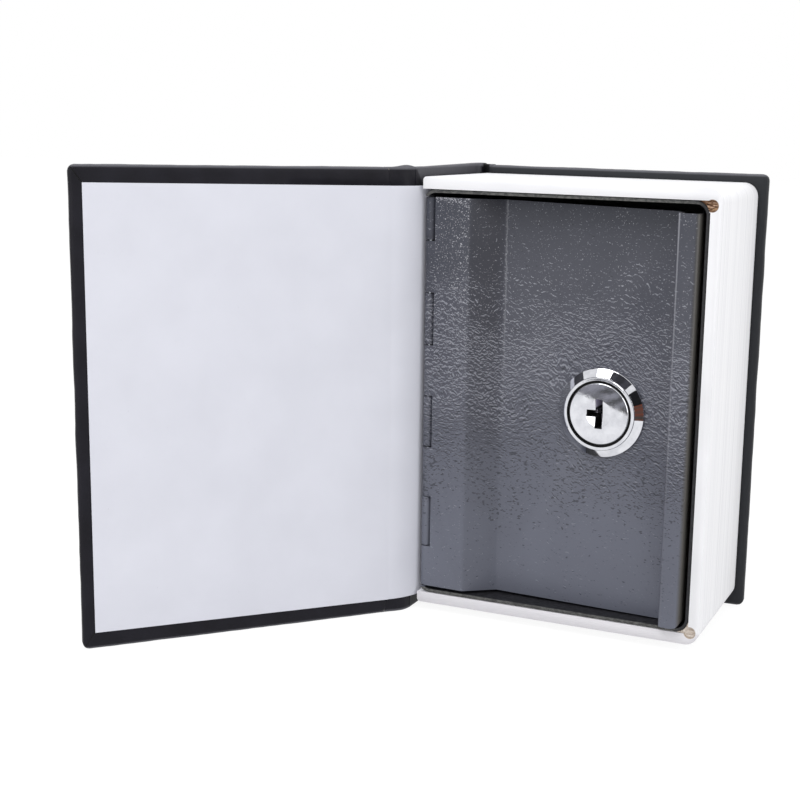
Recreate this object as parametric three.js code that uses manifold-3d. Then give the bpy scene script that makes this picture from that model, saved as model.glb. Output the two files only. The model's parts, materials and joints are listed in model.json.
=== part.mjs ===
// Book diversion safe: a hardback book case round a folded page block that hides a steel box.
// Millimetres, +Z up. The book stands on its tail edge with the front cover swung open.
// Plan of the drawing frame: x = 0 is the spine end of the block, y = 0 its front face,
// z = 0 the surface that the covers stand on. The whole book is then moved so that the
// origin is the centre of its footprint.

import * as THREE from 'three';
import { mergeVertices } from 'three/addons/utils/BufferGeometryUtils.js';
import Module from 'manifold-3d';

const wasm = await Module();
wasm.setup();

const DEG = Math.PI / 180;

// Case: three greyboards in one sheet of leatherette
const coverHeight = 115;      // head to tail of both covers
const coverThick = 2.4;       // board with its cloth, outside to inside
const clothThick = 0.3;
const glueGap = 0.1;          // room for glue between cloth, board and paper
const cornerRadius = 1.2;     // covers' corners at the fore edge
const edgeRound = 0.6;        // cloth rounded over the board's edges
const turnIn = 10;            // cloth folded over to the inside
const paperThick = 0.2;
const paperMarginEnds = 4.1;  // black border above and below the endpaper
const paperMarginFore = 2.9;  // black border beside the endpaper
const foreOverhang = 2.3;     // covers past the block at the fore edge
const tailOverhang = 2.2;     // covers past the block at head and tail
const coverGap = 2.1;         // shut front cover to the block's front face
const boardStart = 0.8;       // where the boards of both covers begin, from the spine end
const paperSkew = 0.45;       // endpaper pasted askew, lower at the joint
const spineThick = 1.2;       // flexible card in its cloth
const spineClear = 2.1;       // spine's inside face to the block
const spineFront = 0.1;       // the card starts behind the block's front face
const rearBend = 2;           // outside radius where the spine turns to the back cover
const rearEdge = -1.1;        // where that turn meets the crease

// Joint of the front cover
const coverAxisX = -3.41;
const coverAxisY = -2.75;
const coverOpen = 133.7;      // degrees from shut, as the book stands
const jointCloth = 0.6;       // cloth and its lining where they meet in the joint
const creaseLip = 0.3;        // crease's edges below the back cover's outside
const creaseDepth = 0.6;
const jointLining = 0.3;      // joint's cloth behind the cover's inside face
const jointGap = 0.3;         // flexible pieces to their neighbours
const paperTuck = 7;          // free endpaper behind the hinge, beside the box

// Page block: one strip of fibreboard, grooved and folded into a U
const blockWidth = 75.5;
const blockDepth = 40;
const blockWall = 2.7;
const headWall = 3;           // the strip's head comes out a little thicker than its tail
const blockCorner = 3.6;      // outside radius at head and tail of the fore edge
const blockEndRound = 0.9;    // eased outside corners at the spine end
const foldGroove = 1.4;       // radius of the groove that lets a corner fold
const grooveOut = 0.4;        // the groove's centre past the inner corner, towards the fore edge
const grooveHead = 1.2;       // and below the head's inner face
const grooveTail = 0.4;       // and above the tail's inner face

// Steel box inside the block
const boxClear = 0.2;         // box to the page block
const boxFrontInset = 0.3;    // box's rim behind the block's front face
const boxSheet = 0.7;
const boxCorner = 3.4;        // outside radius of the box's long edges
const boxBackInset = 0.4;

// Door of the box
const doorSheet = 0.7;
const doorAjar = 2;           // degrees from shut, as the door stands
const doorFace = 0.8;         // raised band's face behind the block's front face
const doorGapTail = 0.8;      // door's tail edge to the inside of the box
const doorGapHead = 1.1;      // door's head edge to the inside of the box, at the hinge
const headFall = 1.1;         // the door's head edge falls by this much towards its free edge
const tailFall = 0.5;         // and its tail edge by this much
const bandEnd = 12.6;         // band beside the hinge
const recessStart = 19.8;
const recessEnd = 65.5;
const doorRight = 70.9;
const recessFace = 6.6;       // sunk panel's face behind the block's front face
const flangeDepth = 8.4;      // how far back the door's free edge is turned
const doorTailCorner = 2.2;   // radius at the tail of the door's free edge, inside the box's bend
const doorHeadCorner = 0.5;   // and at its head, where the door is trimmed short
const bendRadius = 1.1;       // outside radius of the sheet's bends

// Hinge: knuckles rolled from the door's and the box's own sheet, round one pin
const hingeX = 1.5;
const knuckleRadius = 1.3;
const pinRadius = 0.5;
const pinClear = 0.1;
const knuckleCount = 8;
const endKnuckle = 10.8;      // the two end knuckles are shorter
const knuckleGap = 0.3;
const notchClear = 0.35;

// Cam lock
const lockX = 46.9;
const lockZ = 56.6;
const headBase = 22.3;        // diameters of the lock's head
const headRim = 18.4;
const headBore = 16.7;
const headHeight = 2.1;
const headLip = 0.4;          // upright edge round the foot of the head's cone
const plugFace = 15.5;
const plugSunk = 0.1;         // plug's face behind the head's rim
const plugFlange = 1.3;
const plugBody = 11.5;
const boreClear = 0.15;       // radial
const barrelDiameter = 17;
const barrelFlats = 15.6;
const barrelLength = 13.2;
const holeClear = 0.3;
const washerThick = 0.6;
const washerDiameter = 23;
const nutThick = 3;
const nutFlats = 21;
const tailDrive = 7;          // square end of the plug that carries the cam
const tailLength = 3.4;
const stopThick = 0.8;
const stopDiameter = 15;
const camThick = 1.5;
const camReach = 21.9;        // lock's centre to the cam's tip
const camWidth = 11;
const camRoot = 8;            // radius round the plug
const camClear = 0.15;
const screwHead = 8.2;
const screwHeadThick = 2;
const screwShank = 3;
const screwLength = 6;

// Keyway and wafers
const keywayHeight = 7.4;
const keywayWidth = 1.9;
const wardWidth = 2.2;        // small side branch of the keyway
const wardHeight = 1.7;
const dishRadius = 3.4;       // shallow dish round the keyway
const dishDepth = 0.35;
const waferCount = 5;
const waferPitch = 1.95;
const waferThick = 1.05;
const waferWidth = 6.6;
const waferSlotClear = 0.15;
const waferStart = 3.1;       // first wafer behind the head's base
const waferLift = 0.9;        // how far a wafer springs out of the plug
const waferFlush = 0.2;       // drawn-in wafer's ends inside the plug
const wireRadius = 0.16;
const springRadius = 0.62;
const springTurns = 4;
const springFree = 3.6;       // length of a wafer spring as fitted
const grooveDepth = 1.25;     // grooves in the barrel that the wafers spring into

// Strike that the cam locks behind
const strikeSheet = 0.8;
const strikeHeight = 22;
const strikeLip = 5.4;
const strikeLeg = 7;
const camToStrike = 2.8;      // lets the cam turn while the door stands ajar
const stopPeg = 2;            // peg on the barrel that the stop washer meets
const stopRim = 1.6;          // radial width of the stop washer's missing part

// Derived places
const blockBottom = tailOverhang;
const blockTop = coverHeight - tailOverhang;
const foreEdge = blockWidth + foreOverhang;
const frontInside = -coverGap;
const frontOutside = frontInside - coverThick;
const backInside = blockDepth + 2 * glueGap + paperThick;
const backOutside = backInside + coverThick;
const spineInside = -spineClear;
const spineOutside = spineInside - spineThick;
const boxLeft = 0;
const boxRight = blockWidth - blockWall - boxClear;
const boxBottom = blockBottom + blockWall + boxClear;
const boxTop = blockTop - headWall - boxClear;
const doorBottom = boxBottom + boxSheet + doorGapTail;
const doorTop = boxTop - boxSheet - doorGapHead;
const boxFront = boxFrontInset;
const boxBack = blockDepth - boxBackInset;
const hingeY = doorFace + knuckleRadius;
const headFront = recessFace - headHeight;
const barrelEnd = recessFace + barrelLength;
const stopFront = barrelEnd + 0.15;
const camFront = stopFront + stopThick + 0.1;
const camBack = camFront + camThick;
const tailEnd = barrelEnd + tailLength;

// Materials
const finish = (color, roughness, metalness = 0) =>
  new THREE.MeshStandardMaterial({ color, roughness, metalness });
const leatherette = finish(0x2a2a2e, 0.6);
const greyboard = finish(0x8d867a, 0.9);
const paper = finish(0xdcdde6, 0.8);
const pages = finish(0xf4f4f4, 0.7);
const boxPaint = finish(0x5d5f66, 0.5, 0.3);
const doorPaint = finish(0x62656f, 0.5, 0.3);
const zincPlate = finish(0xb9bcc2, 0.35, 1);
const chrome = finish(0xe6e8ee, 0.08, 1);
const brass = finish(0xb89a55, 0.35, 1);
const springSteel = finish(0x9aa0a8, 0.4, 1);

// Solids

function toSolid(geometry) {
  const bare = geometry.clone();
  bare.deleteAttribute('normal');
  bare.deleteAttribute('uv');
  const merged = mergeVertices(bare, 1e-5);
  return new wasm.Manifold(new wasm.Mesh({
    numProp: 3,
    vertProperties: new Float32Array(merged.attributes.position.array),
    triVerts: new Uint32Array(merged.index.array),
  }));
}

function toGeometry(solid) {
  const mesh = solid.getMesh();
  const geometry = new THREE.BufferGeometry();
  geometry.setAttribute('position', new THREE.BufferAttribute(new Float32Array(mesh.vertProperties), 3));
  geometry.setIndex(new THREE.BufferAttribute(new Uint32Array(mesh.triVerts), 1));
  geometry.computeVertexNormals();
  return geometry;
}

const joined = (...geometries) =>
  toGeometry(geometries.map(toSolid).reduce((sum, next) => sum.add(next)));

const cut = (body, ...tools) =>
  toGeometry(tools.map(toSolid).reduce((left, tool) => left.subtract(tool), toSolid(body)));

const block = (x0, x1, y0, y1, z0, z1) =>
  new THREE.BoxGeometry(x1 - x0, y1 - y0, z1 - z0)
    .translate((x0 + x1) / 2, (y0 + y1) / 2, (z0 + z1) / 2);

// A plan (x, y) raised from z0 to z1
function raise(shape, z0, z1, curveSegments = 8) {
  return new THREE.ExtrudeGeometry(shape, { depth: z1 - z0, bevelEnabled: false, curveSegments })
    .translate(0, 0, z0);
}

// An elevation (x, z) given thickness from y0 back to y1, its edges rounded by round
function slab(shape, y0, y1, round = 0, curveSegments = 8) {
  return new THREE.ExtrudeGeometry(shape, {
    depth: y1 - y0 - 2 * round,
    bevelEnabled: round > 0,
    bevelThickness: round,
    bevelSize: round,
    bevelSegments: 3,
    curveSegments,
  })
    .translate(0, 0, round)
    .rotateX(Math.PI / 2)
    .translate(0, y1, 0);
}

// Turned pieces: a profile of [radius, depth] revolved about an axis along y
function turned(profile, x, z, segments = 48) {
  const points = profile.map(([radius, depth]) => new THREE.Vector2(radius, depth));
  return new THREE.LatheGeometry(points, segments).translate(x, 0, z);
}

const disc = (radius, y0, y1, x, z, segments = 48) =>
  turned([[0, y0], [radius, y0], [radius, y1], [0, y1]], x, z, segments);

// A rectangle with a radius at each corner, from the low corner round to the left
function rectangle(x0, y0, x1, y1, radii = [0, 0, 0, 0]) {
  const [a, b, c, d] = radii;
  const shape = new THREE.Shape();
  shape.moveTo(x0 + a, y0);
  shape.lineTo(x1 - b, y0);
  if (b) shape.absarc(x1 - b, y0 + b, b, -90 * DEG, 0);
  shape.lineTo(x1, y1 - c);
  if (c) shape.absarc(x1 - c, y1 - c, c, 0, 90 * DEG);
  shape.lineTo(x0 + d, y1);
  if (d) shape.absarc(x0 + d, y1 - d, d, 90 * DEG, 180 * DEG);
  shape.lineTo(x0, y0 + a);
  if (a) shape.absarc(x0 + a, y0 + a, a, 180 * DEG, 270 * DEG);
  return shape;
}

// The outline of a sheet that follows a path of points, thick to the left of its direction
function sheetOutline(path, thick) {
  const side = path.map((point, i) => {
    const before = path[Math.max(i - 1, 0)];
    const after = path[Math.min(i + 1, path.length - 1)];
    const into = point.clone().sub(before);
    const out = after.clone().sub(point);
    if (i === 0) into.copy(out);
    if (i === path.length - 1) out.copy(into);
    into.normalize();
    out.normalize();
    const mean = into.clone().add(out).normalize();
    const normal = new THREE.Vector2(-mean.y, mean.x);
    return point.clone().addScaledVector(normal, thick / mean.dot(into));
  });
  return new THREE.Shape([...path, ...side.reverse()]);
}

// A path through corners, each rounded by the radius beside it
function bentPath(corners, steps = 5) {
  const path = [];
  corners.forEach(([x, y, radius = 0], i) => {
    const corner = new THREE.Vector2(x, y);
    if (!radius) {
      path.push(corner);
      return;
    }
    const before = new THREE.Vector2(...corners[i - 1]).sub(corner).normalize();
    const after = new THREE.Vector2(...corners[i + 1]).sub(corner).normalize();
    const half = Math.acos(THREE.MathUtils.clamp(before.dot(after), -1, 1)) / 2;
    const reach = radius / Math.tan(half);
    const start = corner.clone().addScaledVector(before, reach);
    const end = corner.clone().addScaledVector(after, reach);
    const centre = corner.clone()
      .addScaledVector(before.clone().add(after).normalize(), radius / Math.sin(half));
    const a0 = Math.atan2(start.y - centre.y, start.x - centre.x);
    const a1 = Math.atan2(end.y - centre.y, end.x - centre.x);
    const turn = Math.atan2(Math.sin(a1 - a0), Math.cos(a1 - a0));
    for (let k = 0; k <= steps; k += 1) {
      const a = a0 + (turn * k) / steps;
      path.push(new THREE.Vector2(centre.x + radius * Math.cos(a), centre.y + radius * Math.sin(a)));
    }
  });
  return path;
}

function part(name, geometry, material) {
  const mesh = new THREE.Mesh(geometry, material);
  mesh.name = name;
  return mesh;
}

// Case: covers and spine

// A board's outline, inset from the outside of its cloth
const boardSlab = (low, high, inset) => slab(
  rectangle(
    boardStart + inset, inset, foreEdge - inset, coverHeight - inset,
    [0, cornerRadius - inset, cornerRadius - inset, 0],
  ),
  low + inset, high - inset,
);

// Cloth round a board: a shallow tray whose rim is turned in over the board's inside face
function wrappedCover(outside, inside) {
  const low = Math.min(outside, inside);
  const high = Math.max(outside, inside);
  const r = cornerRadius;
  const skin = slab(
    rectangle(
      boardStart + edgeRound, edgeRound, foreEdge - edgeRound, coverHeight - edgeRound,
      [0, r - edgeRound, r - edgeRound, 0],
    ),
    low, high, edgeRound,
  );
  const pocket = boardSlab(low, high, clothThick);
  const toward = Math.sign(inside - outside);
  const window = [inside - toward * 2 * clothThick, inside + toward].sort((a, b) => a - b);
  const opening = block(
    boardStart + clothThick, foreEdge - turnIn, window[0], window[1], turnIn, coverHeight - turnIn,
  );
  return cut(skin, pocket, opening);
}

const coverBoard = (outside, inside) =>
  boardSlab(Math.min(outside, inside), Math.max(outside, inside), clothThick + glueGap);

// An endpaper pasted over the turned-in cloth
function endpaper(inside, toward, skew) {
  const near = inside + toward * glueGap;
  const far = near + toward * paperThick;
  const fore = foreEdge - paperMarginFore;
  const sheet = new THREE.Shape([
    new THREE.Vector2(boardStart, paperMarginEnds - skew),
    new THREE.Vector2(fore, paperMarginEnds),
    new THREE.Vector2(fore, coverHeight - paperMarginEnds),
    new THREE.Vector2(boardStart, coverHeight - paperMarginEnds - skew),
  ]);
  return slab(sheet, Math.min(near, far), Math.max(near, far));
}

// Spine and back cover share one sheet of cloth, creased between the two boards
function caseCloth() {
  const path = bentPath([
    [spineOutside, spineFront],
    [spineOutside, backOutside, rearBend],
    [rearEdge, backOutside],
  ]);
  const spineSkin = raise(sheetOutline(path, -spineThick), 0, coverHeight);
  const spinePocket = block(
    spineOutside + clothThick, spineInside - clothThick,
    spineFront + clothThick, backOutside - rearBend - clothThick,
    clothThick, coverHeight - clothThick,
  );
  const spineWindow = block(
    spineInside - clothThick - glueGap, spineInside + 1,
    spineFront + turnIn / 2, backOutside - rearBend - turnIn / 2,
    turnIn, coverHeight - turnIn,
  );
  const middle = (rearEdge + boardStart) / 2;
  const left = rearEdge - clothThick / 2;
  const right = boardStart + clothThick / 2;
  const crest = backOutside - creaseLip;
  const crease = new THREE.Shape([
    [left, crest - jointCloth],
    [middle, crest - creaseDepth - jointCloth],
    [right, crest - jointCloth],
    [right, crest],
    [middle, crest - creaseDepth],
    [left, crest],
  ].map(([x, y]) => new THREE.Vector2(x, y)));
  const back = toSolid(wrappedCover(backOutside, backInside));
  const spine = toSolid(spineSkin).subtract(toSolid(spinePocket)).subtract(toSolid(spineWindow));
  return toGeometry(back.add(spine).add(toSolid(raise(crease, 0, coverHeight))));
}

function spineBoard() {
  const inset = clothThick + glueGap;
  return block(
    spineOutside + inset, spineInside - inset,
    spineFront + inset, backOutside - rearBend - inset,
    inset, coverHeight - inset,
  );
}

// Where a point of the shut cover lies once the cover is swung open
function swung(x, y) {
  const a = coverOpen * DEG;
  const dx = x - coverAxisX;
  const dy = y - coverAxisY;
  return new THREE.Vector2(
    coverAxisX + dx * Math.cos(a) + dy * Math.sin(a),
    coverAxisY - dx * Math.sin(a) + dy * Math.cos(a),
  );
}

// A flexible strip along a smooth plan curve, of even thickness
function strip(points, thick, z0, z1, steps = 14) {
  const path = new THREE.SplineCurve(points).getPoints(steps);
  return raise(sheetOutline(path, thick), z0, z1);
}

// The cloth hinge between spine and front cover, as it lies with the cover open
function frontJointCloth() {
  const y = frontInside - jointLining;
  const sideX = spineInside - jointLining;
  return strip([
    swung(boardStart - jointGap, y),
    swung(boardStart - jointGap - 2, y),
    new THREE.Vector2(sideX - 0.95, spineFront - 3.1),
    new THREE.Vector2(sideX - 0.28, spineFront - 1.7),
    new THREE.Vector2(sideX, spineFront - jointGap),
  ], jointCloth, 0, coverHeight);
}

// The endpaper's free stretch, from the open cover round to the side of the steel box
function endpaperJoint() {
  const y = frontInside + glueGap;
  const sideX = boxLeft - glueGap - paperThick;
  return strip([
    swung(boardStart - jointGap, y),
    swung(boardStart - jointGap - 2.2, y),
    new THREE.Vector2(sideX - 2.25, hingeY - 4.5),
    new THREE.Vector2(sideX - 0.95, hingeY - 1.9),
    new THREE.Vector2(sideX - 0.15, hingeY + 0.9),
    new THREE.Vector2(sideX, hingeY + 3),
    new THREE.Vector2(sideX, hingeY + paperTuck),
  ], -paperThick, paperMarginEnds - paperSkew, coverHeight - paperMarginEnds - paperSkew, 22);
}

// Page block

// One strip of fibreboard folded at two grooves; each groove leaves only the outer skin
function pageStrip() {
  const inner = blockWidth - blockWall;
  const outline = rectangle(
    0, blockBottom, blockWidth, blockTop,
    [blockEndRound, blockCorner, blockCorner, blockEndRound],
  );
  const grooves = [blockBottom + blockWall + grooveTail, blockTop - headWall - grooveHead].map((z) =>
    disc(foldGroove, -1, blockDepth + 1, inner + grooveOut, z, 24));
  return cut(
    slab(outline, 0, blockDepth, 0, 6),
    block(-1, inner, -1, blockDepth + 1, blockBottom + blockWall, blockTop - headWall),
    ...grooves,
  );
}

// Hinge

// Knuckles from the tail up: [z0, z1, belongs to the door]
function knuckles() {
  const inner = (doorTop - doorBottom - 2 * endKnuckle) / (knuckleCount - 2);
  const list = [];
  let z = doorBottom;
  for (let i = 0; i < knuckleCount; i += 1) {
    const length = i === 0 || i === knuckleCount - 1 ? endKnuckle : inner;
    list.push({ low: z, high: z + length, door: i % 2 === 0 });
    z += length;
  }
  return list;
}

// A rolled eye of sheet, seen in plan, with its bore for the pin
function knuckleEye(low, high) {
  const ring = new THREE.Shape();
  ring.absarc(hingeX, hingeY, knuckleRadius, 0, 360 * DEG);
  const bore = new THREE.Path();
  bore.absarc(hingeX, hingeY, pinRadius + pinClear, 0, 360 * DEG, true);
  ring.holes.push(bore);
  return raise(ring, low, high, 24);
}

const clearBarrel = (low, high) =>
  raise(new THREE.Shape().absarc(hingeX, hingeY, knuckleRadius + notchClear, 0, 360 * DEG), low, high, 24);

// Steel box

function boxBody() {
  const r = boxCorner;
  const outside = slab(
    rectangle(boxLeft, boxBottom, boxRight, boxTop, [r, r, r, r]), boxFront, boxBack, 0, 5,
  );
  const ri = r - boxSheet;
  const inside = slab(
    rectangle(
      boxLeft + boxSheet, boxBottom + boxSheet, boxRight - boxSheet, boxTop - boxSheet,
      [ri, ri, ri, ri],
    ),
    boxFront - 1, boxBack - boxSheet, 0, 5,
  );
  let box = toSolid(outside).subtract(toSolid(inside));
  // The hinge side's rim is cut down behind the knuckles, and only its own ones are rolled from it
  const rimCut = block(
    boxLeft - 1, hingeX + knuckleRadius + notchClear, boxFront - 1, hingeY + knuckleRadius + notchClear,
    doorBottom - knuckleGap, doorTop + knuckleGap,
  );
  box = box.subtract(toSolid(rimCut));
  for (const { low, high, door } of knuckles()) {
    if (door) continue;
    const eye = toSolid(knuckleEye(low + knuckleGap / 2, high - knuckleGap / 2));
    const leaf = toSolid(block(
      boxLeft, boxLeft + boxSheet, hingeY, hingeY + knuckleRadius + notchClear + 1,
      low + knuckleGap / 2, high - knuckleGap / 2,
    ));
    const bore = toSolid(raise(
      new THREE.Shape().absarc(hingeX, hingeY, pinRadius + pinClear, 0, 360 * DEG), low, high, 24,
    ));
    box = box.add(eye).add(leaf.subtract(bore));
  }
  return toGeometry(box);
}

// The strike is an angle of sheet, spot welded inside the box beside the lock
function strikePlate() {
  const wall = boxRight - boxSheet - glueGap;
  const lipBack = camFront - camToStrike;
  const lipFront = lipBack - strikeSheet;
  const z0 = lockZ - strikeHeight / 2;
  const z1 = lockZ + strikeHeight / 2;
  const path = bentPath([
    [wall - strikeSheet, lipFront - strikeLeg],
    [wall - strikeSheet, lipFront, bendRadius],
    [wall - strikeLip, lipFront],
  ]);
  return raise(sheetOutline(path, -strikeSheet), z0, z1);
}

// Door

function doorPanel() {
  const path = bentPath([
    [hingeX, doorFace],
    [bandEnd, doorFace, bendRadius],
    [recessStart, recessFace, bendRadius],
    [recessEnd - 0.5, recessFace, bendRadius / 2],
    [recessEnd, doorFace, bendRadius],
    [doorRight, doorFace, bendRadius],
    [doorRight, flangeDepth],
  ]);
  let door = toSolid(raise(sheetOutline(path, doorSheet), doorBottom - tailFall, doorTop));
  for (const { low, high, door: own } of knuckles()) {
    if (own) {
      door = door.add(toSolid(knuckleEye(low + knuckleGap / 2, high - knuckleGap / 2)));
      continue;
    }
    door = door.subtract(toSolid(clearBarrel(low - knuckleGap / 2, high + knuckleGap / 2)));
    door = door.subtract(toSolid(block(
      hingeX - knuckleRadius, hingeX + knuckleRadius + notchClear, doorFace - 1, hingeY,
      low - knuckleGap / 2, high + knuckleGap / 2,
    )));
  }
  // The blank isn't quite square: past the band its head and tail edges fall towards the free edge
  const free = slab(new THREE.Shape(bentPath([
    [hingeX - 10, doorBottom],
    [bandEnd, doorBottom],
    [doorRight, doorBottom - tailFall, doorTailCorner],
    [doorRight, doorTop - headFall, doorHeadCorner],
    [bandEnd, doorTop],
    [hingeX - 10, doorTop],
  ])), -10, 30, 0, 6);
  return toGeometry(door.subtract(toSolid(lockHole())).intersect(toSolid(free)));
}

// A round hole with two flats, which keeps the lock's barrel from turning
function lockHole() {
  const round = disc(barrelDiameter / 2 + holeClear, recessFace - 2, recessFace + 3, lockX, lockZ);
  const half = barrelFlats / 2 + holeClear;
  const across = block(
    lockX - half, lockX + half, recessFace - 3, recessFace + 4,
    lockZ - barrelDiameter, lockZ + barrelDiameter,
  );
  return toGeometry(toSolid(round).intersect(toSolid(across)));
}

const hingePin = () =>
  new THREE.CylinderGeometry(pinRadius, pinRadius, doorTop - doorBottom - 0.6, 20)
    .rotateX(Math.PI / 2)
    .translate(hingeX, hingeY, (doorTop + doorBottom) / 2);

// Lock

function lockHousing() {
  const rim = headRim / 2;
  const base = headBase / 2;
  const shape = turned([
    [0, headFront + 0.15],
    [rim - 0.35, headFront],
    [rim - 0.1, headFront + 0.08],
    [rim, headFront + 0.3],
    [base - 0.1, recessFace - headLip - 0.1],
    [base, recessFace - headLip],
    [base, recessFace - 0.05],
    [barrelDiameter / 2, recessFace - 0.05],
    [barrelDiameter / 2, barrelEnd],
    [0, barrelEnd],
  ], lockX, lockZ, 64);
  const pegRadius = stopDiameter / 2 - stopRim / 2 + 0.15;
  const peg = new THREE.BoxGeometry(stopRim - 0.5, stopThick + 0.65, stopPeg)
    .translate(pegRadius, 0, 0)
    .rotateY(-45 * DEG)
    .translate(lockX, barrelEnd - 0.5 + (stopThick + 0.65) / 2, lockZ);
  const body = joined(shape, peg);
  const flats = [-1, 1].map((side) => {
    const near = lockX + side * (barrelFlats / 2);
    const far = near + side * 5;
    return block(
      Math.min(near, far), Math.max(near, far), recessFace - 0.02, barrelEnd + 1,
      lockZ - barrelDiameter, lockZ + barrelDiameter,
    );
  });
  const counterbore = disc(
    headBore / 2, headFront - 1, headFront + plugSunk + plugFlange + 0.2, lockX, lockZ, 64,
  );
  const boreRadius = plugBody / 2 + boreClear;
  const bore = disc(boreRadius, headFront, barrelEnd + 1, lockX, lockZ, 48);
  const grooveReach = plugBody / 2 + grooveDepth;
  const half = waferWidth / 2 + waferSlotClear;
  const grooveStart = recessFace + waferStart - waferThick;
  const upright = block(
    lockX - half, lockX + half, grooveStart, barrelEnd + 1, lockZ - grooveReach, lockZ + grooveReach,
  );
  const level = block(
    lockX - grooveReach, lockX + grooveReach, grooveStart, barrelEnd + 1, lockZ - half, lockZ + half,
  );
  return cut(body, ...flats, counterbore, bore, upright, level);
}

const waferDepths = () =>
  Array.from({ length: waferCount }, (_, i) => recessFace + waferStart + i * waferPitch);

function lockPlug() {
  const faceY = headFront + plugSunk;
  const face = plugFace / 2;
  const body = turned([
    [0, faceY],
    [face - 0.25, faceY],
    [face, faceY + 0.25],
    [face, faceY + plugFlange],
    [plugBody / 2, faceY + plugFlange],
    [plugBody / 2, barrelEnd + 0.05],
    [0, barrelEnd + 0.05],
  ], lockX, lockZ, 64);
  const drive = block(
    lockX - tailDrive / 2, lockX + tailDrive / 2, barrelEnd - 1, tailEnd,
    lockZ - tailDrive / 2, lockZ + tailDrive / 2,
  );
  const last = recessFace + waferStart + (waferCount - 1) * waferPitch + waferThick;
  const keyway = block(
    lockX - keywayWidth / 2, lockX + keywayWidth / 2, faceY - 1, last + 0.4,
    lockZ - keywayHeight / 2, lockZ + keywayHeight / 2,
  );
  const ward = block(
    lockX - keywayWidth / 2 - wardWidth, lockX, faceY - 1, last + 0.4,
    lockZ - wardHeight / 2, lockZ + wardHeight / 2,
  );
  const sphere = (dishRadius ** 2 + dishDepth ** 2) / (2 * dishDepth);
  const dish = new THREE.SphereGeometry(sphere, 96, 64)
    .rotateX(Math.PI / 2)
    .translate(lockX, faceY - sphere + dishDepth, lockZ);
  const slots = waferDepths().map((y) => {
    const half = waferWidth / 2 + waferSlotClear;
    return block(
      lockX - half, lockX + half, y - waferSlotClear, y + waferThick + waferSlotClear,
      lockZ - plugBody, lockZ + plugBody,
    );
  });
  const pockets = waferDepths().map((y) => block(
    lockX + waferWidth / 2 - 0.1, lockX + springX() + springRadius + wireRadius + 0.15,
    y - waferSlotClear, y + waferThick + waferSlotClear,
    lockZ - springFree / 2 - 0.35, lockZ + springFree / 2 + 1.2 + waferLift + 0.35,
  ));
  const tapping = disc(screwShank / 2 + 0.1, tailEnd - screwLength + 0.6, tailEnd + 1, lockX, lockZ, 20);
  return toGeometry(
    [keyway, ward, dish, ...slots, ...pockets, tapping].map(toSolid)
      .reduce((left, tool) => left.subtract(tool), toSolid(joined(body, drive))),
  );
}

// Distance of the wafer springs from the lock's axis
const springX = () => waferWidth / 2 + springRadius + wireRadius + 0.12;

// A wafer is a plate with round ends, a window for the key and an ear that its spring lifts
function wafer(index) {
  const y = waferDepths()[index];
  const half = waferWidth / 2;
  const radius = plugBody / 2 - waferFlush;
  const reach = Math.sqrt(radius ** 2 - half ** 2);
  const sweep = Math.atan2(reach, half);
  const outline = new THREE.Shape();
  outline.absarc(0, 0, radius, sweep, 180 * DEG - sweep);
  outline.absarc(0, 0, radius, 180 * DEG + sweep, 360 * DEG - sweep);
  const plate = slab(outline, y, y + waferThick, 0, 10).translate(lockX, 0, lockZ);
  const earLow = lockZ + springFree / 2 + 0.1;
  const ear = block(
    lockX + half - 0.5, lockX + springX() + 0.25, y, y + waferThick, earLow, earLow + 0.9,
  );
  const offset = (((index * 2) % waferCount) - (waferCount - 1) / 2) * 0.25;
  const window = block(
    lockX - keywayWidth / 2 - 0.25, lockX + keywayWidth / 2 + 0.25, y - 1, y + waferThick + 1,
    lockZ - keywayHeight / 2 + offset, lockZ + keywayHeight / 2 - 1 + offset,
  );
  const wardWindow = block(
    lockX - keywayWidth / 2 - wardWidth / 2, lockX, y - 1, y + waferThick + 1,
    lockZ - wardHeight / 2 - 0.3, lockZ + wardHeight / 2 + 0.3,
  );
  return cut(joined(plate, ear), window, wardWindow);
}

// A spring's wire as one open helix with flat end faces
class Helix extends THREE.Curve {
  getPoint(t, target = new THREE.Vector3()) {
    const a = t * springTurns * 360 * DEG;
    return target.set(
      springRadius * Math.cos(a), springRadius * 0.62 * Math.sin(a), (t - 0.5) * (springFree - 2 * wireRadius),
    );
  }
}

function waferSpring(index) {
  const wire = new THREE.Shape().absarc(0, 0, wireRadius, 0, 360 * DEG);
  return new THREE.ExtrudeGeometry(wire, {
    steps: springTurns * 8, curveSegments: 3, extrudePath: new Helix(),
  }).translate(lockX + springX(), waferDepths()[index] + waferThick / 2, lockZ);
}

function hexNut() {
  const y0 = recessFace + doorSheet + washerThick + 2 * glueGap;
  const corner = nutFlats / 2 / Math.cos(30 * DEG);
  const hex = new THREE.Shape(Array.from({ length: 6 }, (_, i) =>
    new THREE.Vector2(corner * Math.cos(i * 60 * DEG), corner * Math.sin(i * 60 * DEG))));
  const chamfer = turned([
    [0, y0], [corner - 0.9, y0], [corner + 0.1, y0 + 0.6], [corner + 0.1, y0 + nutThick - 0.6],
    [corner - 0.9, y0 + nutThick], [0, y0 + nutThick],
  ], lockX, lockZ);
  const body = toSolid(slab(hex, y0, y0 + nutThick).translate(lockX, 0, lockZ)).intersect(toSolid(chamfer));
  return toGeometry(body.subtract(toSolid(disc(barrelDiameter / 2 + boreClear, 0, 60, lockX, lockZ))));
}

// A ring about the lock's axis
const ring = (outer, inner, y0, y1, segments = 48) =>
  turned([[inner, y0], [outer, y0], [outer, y1], [inner, y1], [inner, y0]], lockX, lockZ, segments);

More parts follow.
